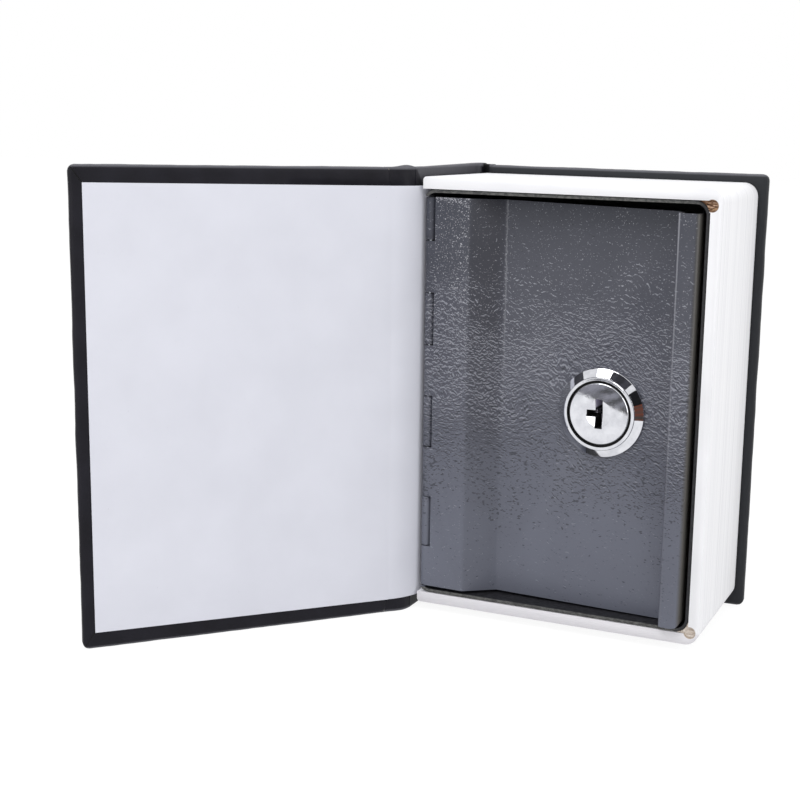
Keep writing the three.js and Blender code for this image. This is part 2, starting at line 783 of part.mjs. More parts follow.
function toothedWasher() {
  const y0 = recessFace + doorSheet + glueGap;
  const teeth = 12;
  const notches = Array.from({ length: teeth }, (_, i) => {
    const a = ((i + 0.5) / teeth) * 360 * DEG;
    const r = washerDiameter / 2;
    return new THREE.BoxGeometry(1.6, 4, 1.8)
      .rotateY(-a)
      .translate(lockX + r * Math.cos(a), y0, lockZ + r * Math.sin(a));
  });
  return cut(
    ring(washerDiameter / 2, barrelDiameter / 2 + boreClear, y0, y0 + washerThick), ...notches,
  );
}

const squareHole = (y0, y1) => {
  const half = tailDrive / 2 + camClear;
  return block(lockX - half, lockX + half, y0, y1, lockZ - half, lockZ + half);
};

// The stop washer turns with the plug; the ends of its missing part meet the barrel's peg
function stopWasher() {
  const outer = stopDiameter / 2;
  const body = disc(outer, stopFront, stopFront + stopThick, lockX, lockZ);
  const half = 45 * DEG + Math.atan2(stopPeg / 2 + camClear, outer - stopRim / 2);
  const far = outer * 2;
  const wedge = new THREE.Shape([
    new THREE.Vector2(0, 0),
    new THREE.Vector2(far * Math.sin(half), far * Math.cos(half)),
    new THREE.Vector2(far * Math.sin(half), far),
    new THREE.Vector2(-far * Math.sin(half), far),
    new THREE.Vector2(-far * Math.sin(half), far * Math.cos(half)),
  ]);
  const missing = cut(
    slab(wedge, stopFront - 1, stopFront + 2).translate(lockX, 0, lockZ),
    disc(outer - stopRim, stopFront - 2, stopFront + 3, lockX, lockZ),
  );
  return cut(body, missing, squareHole(stopFront - 1, stopFront + 2));
}

// The cam points up while unlocked and turns a quarter to lie behind the strike
function cam() {
  const half = camWidth / 2;
  const sweep = Math.asin(half / camRoot);
  const tip = half * 0.55;
  const outline = new THREE.Shape();
  outline.absarc(0, 0, camRoot, 90 * DEG + sweep, 450 * DEG - sweep);
  outline.lineTo(half, camReach - tip);
  outline.absarc(half - tip, camReach - tip, tip, 0, 90 * DEG);
  outline.absarc(tip - half, camReach - tip, tip, 90 * DEG, 180 * DEG);
  return cut(
    slab(outline, camFront, camBack, 0.2, 10).translate(lockX, 0, lockZ),
    squareHole(camFront - 1, camBack + 1),
  );
}

function camScrew() {
  const under = tailEnd + 0.5;
  const r = screwHead / 2;
  const top = under + screwHeadThick;
  const body = turned([
    [0, tailEnd - screwLength + 1.2],
    [screwShank / 2 - 0.3, tailEnd - screwLength + 1.2],
    [screwShank / 2, tailEnd - screwLength + 1.6],
    [screwShank / 2, under],
    [r, under],
    [r, under + 0.8],
    [r * 0.8, top - 0.25],
    [r * 0.45, top],
    [0, top],
  ], lockX, lockZ, 32);
  const arm = (angle) => new THREE.BoxGeometry(r * 1.1, 2.4, 0.9)
    .rotateY(angle)
    .translate(lockX, top, lockZ);
  return cut(body, arm(45 * DEG), arm(-45 * DEG));
}

// The book

const book = new THREE.Group();

const leaf = new THREE.Group();
leaf.position.set(-coverAxisX, -coverAxisY, 0);
leaf.add(
  part('front_board', coverBoard(frontOutside, frontInside), greyboard),
  part('front_cloth', wrappedCover(frontOutside, frontInside), leatherette),
  part('front_endpaper', endpaper(frontInside, 1, paperSkew), paper),
);
const frontCover = new THREE.Group();
frontCover.position.set(coverAxisX, coverAxisY, 0);
frontCover.rotation.z = -coverOpen * DEG;
frontCover.add(leaf);

const shut = new THREE.Group();
shut.position.set(-hingeX, -hingeY, 0);
shut.add(
  part('door_panel', doorPanel(), doorPaint),
  part('lock_housing', lockHousing(), chrome),
  part('lock_plug', lockPlug(), chrome),
  part('toothed_washer', toothedWasher(), zincPlate),
  part('lock_nut', hexNut(), zincPlate),
  part('stop_washer', stopWasher(), zincPlate),
  part('lock_cam', cam(), zincPlate),
  part('cam_washer', ring(screwHead / 2 + 1.6, screwShank / 2 + 0.2, tailEnd, tailEnd + 0.5), zincPlate),
  part('cam_screw', camScrew(), zincPlate),
);
for (let i = 0; i < waferCount; i += 1) {
  shut.add(part(`wafer_${i + 1}`, wafer(i), brass));
  shut.add(part(`wafer_spring_${i + 1}`, waferSpring(i), springSteel));
}
const door = new THREE.Group();
door.position.set(hingeX, hingeY, 0);
door.rotation.z = -doorAjar * DEG;
door.add(shut);

book.add(
  frontCover,
  part('front_joint_cloth', frontJointCloth(), leatherette),
  part('endpaper_joint', endpaperJoint(), paper),
  part('spine_board', spineBoard(), greyboard),
  part('back_board', coverBoard(backOutside, backInside), greyboard),
  part('case_cloth', caseCloth(), leatherette),
  part('back_endpaper', endpaper(backInside, -1, 0), paper),
  part('page_strip', pageStrip(), pages),
  part('box_body', boxBody(), boxPaint),
  part('strike_plate', strikePlate(), zincPlate),
  part('hinge_pin', hingePin(), zincPlate),
  door,
);

// Stand the book with the centre of its footprint at the origin
const footprint = new THREE.Box3().setFromObject(book);
book.position.set(
  -(footprint.min.x + footprint.max.x) / 2, -(footprint.min.y + footprint.max.y) / 2, 0,
);
const stand = new THREE.Group();
stand.add(book);
console.log('book moved by', book.position.x.toFixed(4), book.position.y.toFixed(4));

export default stand;
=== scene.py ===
# %% [markdown]
# A book safe in Blender
# The object is a small hardback book that hides a steel box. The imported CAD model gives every
# size and every hinge. This lesson dresses it: smooth edges, cloth, paper, paint and chrome.
# The camera stands where the photograph was taken from.

import json
import math

import bmesh
import bpy
from mathutils import Matrix, Vector, noise


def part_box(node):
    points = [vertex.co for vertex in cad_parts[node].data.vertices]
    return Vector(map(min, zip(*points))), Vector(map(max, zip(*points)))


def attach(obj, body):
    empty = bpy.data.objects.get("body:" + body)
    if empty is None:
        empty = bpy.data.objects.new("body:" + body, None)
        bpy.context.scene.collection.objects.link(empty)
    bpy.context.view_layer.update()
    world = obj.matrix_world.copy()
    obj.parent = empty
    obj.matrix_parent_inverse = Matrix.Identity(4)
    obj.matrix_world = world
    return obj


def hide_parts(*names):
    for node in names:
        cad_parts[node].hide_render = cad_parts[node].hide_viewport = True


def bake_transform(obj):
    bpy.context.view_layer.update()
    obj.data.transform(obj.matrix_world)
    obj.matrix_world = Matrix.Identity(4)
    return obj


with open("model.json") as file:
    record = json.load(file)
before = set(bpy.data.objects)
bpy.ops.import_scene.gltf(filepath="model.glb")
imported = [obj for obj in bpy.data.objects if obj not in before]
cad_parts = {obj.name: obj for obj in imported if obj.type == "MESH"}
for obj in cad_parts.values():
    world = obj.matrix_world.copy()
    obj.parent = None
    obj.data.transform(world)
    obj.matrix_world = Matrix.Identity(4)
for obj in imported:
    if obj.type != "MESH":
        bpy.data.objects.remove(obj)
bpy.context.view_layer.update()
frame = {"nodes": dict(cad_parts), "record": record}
MM = 0.001

# %% [markdown]
# Two drawing frames make the numbers readable. The block frame has its zero at the spine end of
# the page block's front face, with millimetres as unit. The cover and the door are drawn shut in
# that frame and then turned about their hinges, as the real ones are.

# %% Drawing frames
TAIL_OVERHANG = 2.2
block_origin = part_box("page_strip")[0] - Vector((0, 0, TAIL_OVERHANG * MM))
COVER_AXIS = (-3.41, -2.75)
COVER_OPEN = 133.7
DOOR_AXIS = (1.5, 2.1)
DOOR_AJAR = 2.0
IN_BLOCK = Matrix.Translation(block_origin) @ Matrix.Scale(MM, 4)


def turned(axis, degrees):
    """The block frame after a turn about an upright axis."""
    there = Matrix.Translation((axis[0], axis[1], 0))
    return IN_BLOCK @ there @ Matrix.Rotation(-math.radians(degrees), 4, "Z") @ there.inverted()


IN_COVER = turned(COVER_AXIS, COVER_OPEN)
IN_DOOR = turned(DOOR_AXIS, DOOR_AJAR)
print("block origin", [round(v, 5) for v in block_origin])

# %% [markdown]
# A camera is a pinhole: where it stands, which way it looks and how long its lens is. These came
# from matching the straight edges of the covers and the block to the photograph. The small shift
# stands for a crop of the picture. The last of its turns makes a camera look level instead of down.

# %% Camera
CAMERA_STAND = (148.01, -320.27, 125.67)
CAMERA_TURNS = ((22.31, "Z"), (-10.90, "X"), (-1.35, "Y"), (90, "X"))


def put_in_scene(name, data):
    """A new object in the scene that shows the given data."""
    thing = bpy.data.objects.new(name, data)
    bpy.context.scene.collection.objects.link(thing)
    return thing


camera_data = bpy.data.cameras.new("photo_camera")
camera_data.sensor_width = 36
camera_data.lens = 63.09
camera_data.shift_x = -0.1
camera_data.shift_y = -0.00625
camera = put_in_scene("photo_camera", camera_data)
stand = IN_BLOCK @ Vector(CAMERA_STAND)
look = Matrix.Identity(3)
for degrees, axis in CAMERA_TURNS:
    look = look @ Matrix.Rotation(math.radians(degrees), 3, axis)
camera.matrix_world = Matrix.Translation(stand) @ look.to_4x4()
bpy.context.scene.camera = camera
print("camera", [round(v, 4) for v in stand])

# %% [markdown]
# Every finish is a small node tree. One function turns the hex values that designers write into
# the linear numbers that Blender mixes. One more adds a node with its settings and its links.
# Patterns are laid out in real sizes: a Mapping node of the texture type divides the place on the
# object by the size of one feature, so a scale of 0.0007 draws features of 0.7 mm. The same node
# can also measure from a piece's own origin and along its own axes, which places a worn edge or a
# crease to a tenth of a millimetre.

# %% Node helpers


def linear(hex_text):
    """Linear RGBA of an sRGB colour written as RRGGBB."""
    values = [int(hex_text[i:i + 2], 16) / 255 for i in (0, 2, 4)]
    return [v / 12.92 if v <= 0.04045 else ((v + 0.055) / 1.055) ** 2.4 for v in values] + [1.0]


def add_node(tree, kind, settings=None, links=None):
    """Adds a node. Settings are properties, inputs or colour stops; links are inputs to sockets."""
    node = tree.nodes.new("ShaderNode" + kind)
    for name, value in (settings or {}).items():
        if name == "stops":
            colours = node.color_ramp.elements
            for element, (place, colour) in zip(colours, (value[0], value[-1])):
                element.position, element.color = place, linear(colour)
            for place, colour in value[1:-1]:
                colours.new(place).color = linear(colour)
        elif isinstance(name, int) or name in node.inputs:
            node.inputs[name].default_value = value
        else:
            setattr(node, name, value)
    for name, socket in (links or {}).items():
        tree.links.new(socket, node.inputs[name])
    return node


def new_finish(name):
    """A material with an empty Principled surface: the material, its tree and its shader."""
    material = bpy.data.materials.new(name)
    material.use_nodes = True
    tree = material.node_tree
    tree.nodes.clear()
    shader = add_node(tree, "BsdfPrincipled")
    add_node(tree, "OutputMaterial", links={"Surface": shader.outputs[0]})
    return material, tree, shader


def join_surface(tree, shader, colour, dents, values):
    """Gives a shader its colour, its dents and its plain values."""
    tree.links.new(colour, shader.inputs["Base Color"])
    tree.links.new(dents.outputs[0], shader.inputs["Normal"])
    for name, value in values.items():
        shader.inputs[name].default_value = value


print("helpers for nodes, finishes and surfaces")

# %% Places and patterns


def own_axes(tree, spot, origin, degrees=0):
    """Where a spot lies from a piece's origin, along axes that are turned as the piece is."""
    turn = (0, 0, -math.radians(degrees))
    place = add_node(
        tree, "Mapping", {"vector_type": "TEXTURE", "Location": origin, "Rotation": turn},
        {"Vector": spot},
    )
    return add_node(tree, "SeparateXYZ", links={"Vector": place.outputs[0]})


def distance_from(tree, value, middle):
    """How far a value lies from a middle one, to either side."""
    past = add_node(tree, "Math", {"operation": "SUBTRACT", 1: middle}, {0: value})
    return add_node(tree, "Math", {"operation": "ABSOLUTE"}, {0: past.outputs[0]})


def noise_of_size(tree, spot, size, settings):
    """Noise with features of a real size in metres, one number or one for each axis."""
    scale = size if isinstance(size, tuple) else (size,) * 3
    place = add_node(tree, "Mapping", {"vector_type": "TEXTURE", "Scale": scale}, {"Vector": spot})
    return add_node(tree, "TexNoise", {"Scale": 1.0, **settings}, {"Vector": place.outputs[0]})


print("helpers for places, distances and patterns")

# %% [markdown]
# The case is covered in leatherette: black vinyl on paper, embossed with a fine pebble. Face on it
# is a cool black. Its head and tail edges and the spine's head are painted greyer, a painted
# highlight of light from above on the rounded edges. The cloth is turned in over the boards, and at
# the fore edge the turned-in strips meet in a mitre, a fine slanting line from the paper's corner
# to the board's. The rear crease is painted black, a painted shade in the fold. The pebble is about
# 0.5 mm wide on the real cloth, and is drawn at 0.75 mm so that it shows.

# %% Leatherette
FORE_EDGE, HEAD = 77.8, 115.0
COVER_INSIDE, BACK_INSIDE = -2.1, 40.4
MARGIN_FORE, MARGIN = 2.9, 4.1
leatherette, tree, shader = new_finish("leatherette_black")
spot = add_node(tree, "TexCoord").outputs["Object"]
pebble_place = add_node(
    tree, "Mapping", {"vector_type": "TEXTURE", "Scale": (0.00075,) * 3}, {"Vector": spot},
)
pebble = add_node(
    tree, "TexVoronoi", {"feature": "SMOOTH_F1", "Scale": 1.0},
    {"Vector": pebble_place.outputs[0]},
)
blotch = noise_of_size(tree, spot, 0.007, {"Detail": 3.0})
blacks = add_node(
    tree, "ValToRGB", {"stops": [(0.3, "100F16"), (0.7, "18171F")]},
    {"Fac": blotch.outputs["Fac"]},
)
print(leatherette.name, "pebble and tone:", len(tree.nodes), "nodes")

# %% Leatherette: painted highlight at the edges
axes = own_axes(tree, spot, block_origin)
to_head = add_node(
    tree, "Math", {"operation": "SUBTRACT", 0: HEAD * MM}, {1: axes.outputs["Z"]},
)
to_rim = add_node(
    tree, "Math", {"operation": "MINIMUM"}, {0: to_head.outputs[0], 1: axes.outputs["Z"]},
)
# Painted highlight: the cloth's head and tail edges are painted grey.
rim_highlight = add_node(
    tree, "MapRange",
    {"From Min": 0.75 * MM, "From Max": 0.2 * MM, "To Max": 0.9}, {"Value": to_rim.outputs[0]},
)
slant = add_node(
    tree, "Math", {"operation": "MULTIPLY_ADD", 1: -0.9},
    {0: to_head.outputs[0], 2: axes.outputs["Y"]},
)
past_fold = add_node(
    tree, "MapRange", {"From Min": 0, "From Max": 0.6 * MM}, {"Value": slant.outputs[0]},
)
on_spine = add_node(
    tree, "MapRange", {"From Min": -1.2 * MM, "From Max": -1.8 * MM}, {"Value": axes.outputs["X"]},
)
near_head = add_node(
    tree, "MapRange",
    {"From Min": 5.0 * MM, "From Max": 1.5 * MM, "To Max": 0.5}, {"Value": to_head.outputs[0]},
)
# Painted highlight: the spine is painted greyer near its head.
spine_part = add_node(
    tree, "Math", {"operation": "MULTIPLY"}, {0: past_fold.outputs[0], 1: on_spine.outputs[0]},
)
spine_head_highlight = add_node(
    tree, "Math", {"operation": "MULTIPLY"}, {0: spine_part.outputs[0], 1: near_head.outputs[0]},
)
edge_highlights = add_node(
    tree, "Math", {"operation": "MAXIMUM"}, {0: rim_highlight.outputs[0], 1: spine_head_highlight.outputs[0]},
)
off_back = distance_from(tree, axes.outputs["Y"], BACK_INSIDE * MM)
in_back = add_node(
    tree, "MapRange", {"From Min": 0.9 * MM, "From Max": 0.5 * MM, "To Max": 0.8},
    {"Value": off_back.outputs[0]},
)
greyed = add_node(
    tree, "Mix", {"data_type": "RGBA", 7: linear("2E3033")},
    {0: in_back.outputs[0], 6: blacks.outputs["Color"]},
)
with_edge_highlights = add_node(
    tree, "Mix", {"data_type": "RGBA", 7: linear("64646A")},
    {0: edge_highlights.outputs[0], 6: greyed.outputs[2]},
)
print(leatherette.name, "with wear:", len(tree.nodes), "nodes")

# %% Leatherette: mitres inside the front cover, painted shade in the rear crease
cover_axes = own_axes(tree, spot, IN_COVER.translation, COVER_OPEN)
from_fore = add_node(
    tree, "Math", {"operation": "SUBTRACT", 0: FORE_EDGE * MM}, {1: cover_axes.outputs["X"]},
)
slope_line = add_node(
    tree, "Math", {"operation": "MULTIPLY_ADD", 1: -MARGIN / MARGIN_FORE},
    {0: from_fore.outputs[0], 2: to_rim.outputs[0]},
)
off_line = add_node(tree, "Math", {"operation": "ABSOLUTE"}, {0: slope_line.outputs[0]})
line = add_node(
    tree, "MapRange", {"From Min": 0.34 * MM, "From Max": 0.1 * MM},
    {"Value": off_line.outputs[0]},
)
in_margin = add_node(
    tree, "MapRange", {"From Min": MARGIN_FORE * MM, "From Max": (MARGIN_FORE - 0.1) * MM},
    {"Value": from_fore.outputs[0]},
)
inside_face = add_node(
    tree, "MapRange",
    {"From Min": (COVER_INSIDE - 0.6) * MM, "From Max": (COVER_INSIDE - 0.3) * MM},
    {"Value": cover_axes.outputs["Y"]},
)
in_corner = add_node(
    tree, "Math", {"operation": "MULTIPLY"}, {0: in_margin.outputs[0], 1: inside_face.outputs[0]},
)
mitre = add_node(
    tree, "Math", {"operation": "MULTIPLY"}, {0: line.outputs[0], 1: in_corner.outputs[0]},
)
# Painted shade: the rear crease is painted black along its length, as the fold's shadow.
off_joint = distance_from(tree, axes.outputs["X"], 0.1 * MM)
joint_line = add_node(
    tree, "MapRange", {"From Min": 1.3 * MM, "From Max": 0.8 * MM},
    {"Value": off_joint.outputs[0]},
)
at_back = add_node(
    tree, "MapRange", {"From Min": 39.0 * MM, "From Max": 40.0 * MM}, {"Value": axes.outputs["Y"]},
)
rear_crease_shade = add_node(
    tree, "Math", {"operation": "MULTIPLY"}, {0: joint_line.outputs[0], 1: at_back.outputs[0]},
)
folds = add_node(
    tree, "Math", {"operation": "MAXIMUM"}, {0: mitre.outputs[0], 1: rear_crease_shade.outputs[0]},
)
mitres_and_crease_shade = add_node(
    tree, "Mix", {"data_type": "RGBA", 7: linear("060608")},
    {0: folds.outputs[0], 6: with_edge_highlights.outputs[2]},
)
mitre_dent = add_node(
    tree, "Bump", {"Distance": 0.15 * MM, "Strength": 0.8, "invert": True},
    {"Height": mitre.outputs[0]},
)
pebble_dent = add_node(
    tree, "Bump", {"Distance": 0.05 * MM, "Strength": 0.5},
    {"Height": pebble.outputs["Distance"], "Normal": mitre_dent.outputs[0]},
)
vinyl = {"Roughness": 0.5, "Specular IOR Level": 0.18}
join_surface(tree, shader, mitres_and_crease_shade.outputs[2], pebble_dent, vinyl)
print(leatherette.name, len(tree.nodes), "nodes")

# %% [markdown]
# The endpapers are uncoated coloured paper, between grey and lavender. Paper is rough and has
# almost no shine. Its tone clouds a little over a few centimetres, its fibres give the light
# something to catch, and a few darker specks of fibre are in the pulp.

# %% Endpaper
endpaper_finish, tree, shader = new_finish("endpaper_lavender_grey")
spot = add_node(tree, "TexCoord").outputs["Object"]
cloud = noise_of_size(tree, spot, 0.014, {"Detail": 4.0})
fibre = noise_of_size(tree, spot, 0.0005, {"Detail": 3.0})
lavender = add_node(
    tree, "ValToRGB", {"stops": [(0.3, "CDCED7"), (0.7, "D2D3DC")]},
    {"Fac": cloud.outputs["Fac"]},
)
speck = add_node(
    tree, "MapRange", {"From Min": 0.75, "From Max": 0.8, "To Max": 0.5},
    {"Value": fibre.outputs["Fac"]},
)
specked = add_node(
    tree, "Mix", {"data_type": "RGBA", 7: linear("8E8F9A")},
    {0: speck.outputs[0], 6: lavender.outputs["Color"]},
)
paper_tooth = add_node(
    tree, "Bump", {"Distance": 0.02 * MM, "Strength": 0.4}, {"Height": fibre.outputs["Fac"]},
)
uncoated = {"Roughness": 0.85, "Specular IOR Level": 0.3}
join_surface(tree, shader, specked.outputs[2], paper_tooth, uncoated)
print(endpaper_finish.name, len(tree.nodes), "nodes")

# %% [markdown]
# The page block is a strip of fibreboard wrapped in white paper. Its outside is printed with fine
# upright lines that run beside the covers, like the edges of leaves. Real leaves are 0.1 mm thick,
# and the lines are drawn at 0.5 mm. Where the strip is grooved and folded, brown fibre shows, so
# the brown keeps to the points that lie within a groove's radius of its axis. The strip's front
# face at the tail is painted greyer, a painted shade low beside the floor.

# %% Page block
GROOVE_RADIUS = 1.4
GROOVES = {"tail": (73.2, 5.3), "head": (73.2, 108.6)}
pages_finish, tree, shader = new_finish("page_block_printed_board")
spot = add_node(tree, "TexCoord").outputs["Object"]
leaves = noise_of_size(tree, spot, (0.15, 0.0005, 0.15), {"Detail": 4.0, "Roughness": 0.7})
whites = add_node(
    tree, "ValToRGB", {"stops": [(0.34, "DADADD"), (0.46, "E9E9EC"), (0.6, "F0F0F2")]},
    {"Fac": leaves.outputs["Fac"]},
)
axes = own_axes(tree, spot, block_origin)
flat = add_node(tree, "CombineXYZ", links={"X": axes.outputs["X"], "Z": axes.outputs["Z"]})
reach = [
    add_node(
        tree, "VectorMath",
        {"operation": "DISTANCE", 1: (groove_x * MM, 0, groove_z * MM)}, {0: flat.outputs[0]},
    ).outputs["Value"] for groove_x, groove_z in GROOVES.values()
]
nearest = add_node(tree, "Math", {"operation": "MINIMUM"}, dict(enumerate(reach)))
in_groove = add_node(
    tree, "MapRange",
    {"From Min": (GROOVE_RADIUS + 0.14) * MM, "From Max": (GROOVE_RADIUS + 0.04) * MM},
    {"Value": nearest.outputs[0]},
)
print(pages_finish.name, "leaves and grooves:", len(tree.nodes), "nodes")

# %% Page block: core and foot
HALF_UP, HALF_RANGE = 55, 5
core_grain = noise_of_size(tree, spot, 0.0007, {"Detail": 4.0})
core_brown = add_node(
    tree, "ValToRGB", {"stops": [(0.32, "4E3424"), (0.68, "A68463")]},
    {"Fac": core_grain.outputs["Fac"]},
)
half_way = {"From Min": (HALF_UP - HALF_RANGE) * MM, "From Max": (HALF_UP + HALF_RANGE) * MM}
at_head = add_node(tree, "MapRange", half_way, {"Value": axes.outputs["Z"]})
core_tone = add_node(
    tree, "Mix", {"data_type": "RGBA", 6: linear("B5A799")},
    {0: at_head.outputs[0], 7: core_brown.outputs["Color"]},
)
# Painted shade: the strip's front face at the tail is painted greyer, low beside the floor.
below_tail_fold = add_node(
    tree, "MapRange", {"From Min": 5.4 * MM, "From Max": 5.0 * MM}, {"Value": axes.outputs["Z"]},
)
in_front = add_node(
    tree, "MapRange", {"From Min": 0.9 * MM, "From Max": 0.5 * MM}, {"Value": axes.outputs["Y"]},
)
foot_shade = add_node(
    tree, "Math", {"operation": "MULTIPLY"},
    {0: below_tail_fold.outputs[0], 1: in_front.outputs[0]},
)
with_foot_shade = add_node(
    tree, "Mix", {"data_type": "RGBA", 7: linear("D6D4D8")},
    {0: foot_shade.outputs[0], 6: whites.outputs["Color"]},
)
printed = add_node(
    tree, "Mix", {"data_type": "RGBA"},
    {0: in_groove.outputs[0], 6: with_foot_shade.outputs[2], 7: core_tone.outputs[2]},
)
leaf_edges = add_node(
    tree, "Bump", {"Distance": 0.05 * MM, "Strength": 0.5}, {"Height": leaves.outputs["Fac"]},
)
printed_paper = {"Roughness": 0.6, "Specular IOR Level": 0.3}
join_surface(tree, shader, printed.outputs[2], leaf_edges, printed_paper)
print(pages_finish.name, len(tree.nodes), "nodes")

# %% [markdown]
# In the folds the fibre is crushed and stands open, like felt. It is brown at the head. At the
# tail, where the strip was glued, it is smeared pale with dried paste.

# %% Crushed fibre
fibre_finish, tree, shader = new_finish("crushed_fibreboard")
spot = add_node(tree, "TexCoord").outputs["Object"]
axes = add_node(tree, "SeparateXYZ", links={"Vector": spot})
felt = noise_of_size(tree, spot, (0.0018, 0.0006, 0.0004), {"Detail": 4.0})
brown = add_node(
    tree, "ValToRGB", {"stops": [(0.36, "2E1B12"), (0.5, "7C5A40"), (0.64, "C4A68E")]},
    {"Fac": felt.outputs["Fac"]},
)
pasted = add_node(
    tree, "ValToRGB", {"stops": [(0.32, "AA9A8C"), (0.66, "CFC6BD")]},
    {"Fac": felt.outputs["Fac"]},
)
upper_half = add_node(tree, "MapRange", half_way, {"Value": axes.outputs["Z"]})
fibre_tone = add_node(
    tree, "Mix", {"data_type": "RGBA"},
    {0: upper_half.outputs[0], 6: pasted.outputs["Color"], 7: brown.outputs["Color"]},
)
fibre_dent = add_node(
    tree, "Bump", {"Distance": 0.1 * MM, "Strength": 0.8}, {"Height": felt.outputs["Fac"]},
)
join_surface(tree, shader, fibre_tone.outputs[2], fibre_dent, {"Roughness": 0.95})
print(fibre_finish.name, len(tree.nodes), "nodes")

# %% [markdown]
# Box and door are mild steel under grey wrinkle paint. As it dries, its skin shrinks into short
# ridges, a quarter of a millimetre wide and about a millimetre long, that lie mostly across the
# door and sway a little. Their upper flanks are painted lighter and their lower flanks darker, as
# painted light and shade from above. So the finish compares one noise with itself a little higher
# up: the difference is the flank. Painted lit flanks gather above the middle and painted shaded
# ones below it. The ground is painted darker towards the head and lighter towards the tail, a
# painted reflection of the white floor. Near the head the skin is flat with fine pale specks,
# painted glints, most of them on the band beside the hinge and along its head, and near the tail
# the paint ran smooth and has only a few dark pits, painted shade in its hollows.

# %% Wrinkle paint on the door: places
DOOR_TAIL, DOOR_HEAD = 6, 108
BAND_END, SLOPE_FOOT, RIDGE_BEND = 12.6, 20.9, 66.0
door_paint, tree, shader = new_finish("wrinkle_paint_door")
spot = add_node(tree, "TexCoord").outputs["Object"]
axes = own_axes(tree, spot, IN_DOOR.translation, DOOR_AJAR)
broad = noise_of_size(tree, spot, 0.016, {"Detail": 2.0})
drift = add_node(
    tree, "MapRange", {"From Min": 0.3, "From Max": 0.7, "To Min": -8 * MM, "To Max": 8 * MM},
    {"Value": broad.outputs["Fac"]},
)
height_above = add_node(
    tree, "Math", {"operation": "ADD"}, {0: axes.outputs["Z"], 1: drift.outputs[0]},
)
upness = add_node(
    tree, "MapRange", {"From Min": DOOR_TAIL * MM, "From Max": DOOR_HEAD * MM},
    {"Value": height_above.outputs[0]},
)
on_band = add_node(
    tree, "MapRange", {"From Min": (BAND_END + 0.3) * MM, "From Max": (BAND_END - 0.3) * MM},
    {"Value": axes.outputs["X"]},
)
sway = add_node(
    tree, "MapRange", {"From Min": 0.3, "From Max": 0.7, "To Min": -2 * MM, "To Max": 2 * MM},
    {"Value": broad.outputs["Fac"]},
)
upwards = add_node(tree, "CombineXYZ", links={"Z": sway.outputs[0]})
swayed = add_node(
    tree, "VectorMath", {"operation": "ADD"}, {0: spot, 1: upwards.outputs[0]},
)
print(door_paint.name, "places:", len(tree.nodes), "nodes")

# %% Wrinkle paint on the door: ridges and their flanks
RIDGE = (0.0011, 0.0009, 0.0007)
RIDGE_TILT = (0, math.radians(12), 0)
FLANK_SHIFT = -0.23


def ridge_noise(tree, spot, shift, roughness):
    """The wrinkles' noise, moved upwards by shift millimetres."""
    place = add_node(
        tree, "Mapping",
        {"vector_type": "TEXTURE", "Location": (0, 0, shift * MM), "Rotation": RIDGE_TILT,
         "Scale": RIDGE},
        {"Vector": spot},
    )
    return add_node(
        tree, "TexNoise", {"Scale": 1.0, "Detail": 2.0, "Roughness": roughness, "Distortion": 0.9},
        {"Vector": place.outputs[0]},
    )


ridges = ridge_noise(tree, swayed.outputs[0], 0, 0.45)
ridges_higher = ridge_noise(tree, swayed.outputs[0], FLANK_SHIFT, 0.45)
# Painted light and shade: upper flanks of the wrinkles are painted light, lower flanks dark.
flank = add_node(
    tree, "Math", {"operation": "SUBTRACT"},
    {0: ridges.outputs["Fac"], 1: ridges_higher.outputs["Fac"]},
)
off_light = distance_from(tree, upness.outputs[0], 0.6)
off_dark = distance_from(tree, upness.outputs[0], 0.42)
sparse_light = add_node(
    tree, "MapRange",
    {"From Min": 0.06, "From Max": 0.3, "To Min": 0.02, "To Max": 0.2},
    {"Value": off_light.outputs[0]},
)
sparse_dark = add_node(
    tree, "MapRange",
    {"From Min": 0.05, "From Max": 0.26, "To Min": 0.04, "To Max": 0.22},
    {"Value": off_dark.outputs[0]},
)
over_light = add_node(
    tree, "Math", {"operation": "SUBTRACT"}, {0: flank.outputs[0], 1: sparse_light.outputs[0]},
)
over_dark = add_node(
    tree, "Math", {"operation": "ADD"}, {0: flank.outputs[0], 1: sparse_dark.outputs[0]},
)
painted_lit_flank = add_node(
    tree, "MapRange", {"From Max": 0.08, "To Max": 0.85}, {"Value": over_light.outputs[0]},
)
painted_shaded_flank = add_node(
    tree, "MapRange", {"From Max": -0.07, "To Max": 0.9}, {"Value": over_dark.outputs[0]},
)
print(door_paint.name, "with flanks:", len(tree.nodes), "nodes")

# %% Wrinkle paint on the door: painted shade in pits
pits = noise_of_size(tree, spot, (0.0013, 0.001, 0.0007), {"Detail": 1.0})
off_pits = distance_from(tree, upness.outputs[0], 0.3)
sparse_pits = add_node(
    tree, "MapRange", {"From Min": 0.04, "From Max": 0.22, "To Min": 0.61, "To Max": 0.73},
    {"Value": off_pits.outputs[0]},
)
over_pits = add_node(
    tree, "Math", {"operation": "SUBTRACT"}, {0: pits.outputs["Fac"], 1: sparse_pits.outputs[0]},
)
# Painted shade: sparse pits in the paint are painted dark.
pit_shade = add_node(
    tree, "MapRange", {"From Max": 0.06, "To Max": 0.75}, {"Value": over_pits.outputs[0]},
)
flank_and_pit_shade = add_node(
    tree, "Math", {"operation": "MAXIMUM"}, {0: painted_shaded_flank.outputs[0], 1: pit_shade.outputs[0]},
)
relief = add_node(
    tree, "MapRange", {"From Min": 0.12, "From Max": 0.4, "To Min": 0.6, "To Max": 0.12},
    {"Value": off_dark.outputs[0]},
)
print(door_paint.name, "with pits:", len(tree.nodes), "nodes")

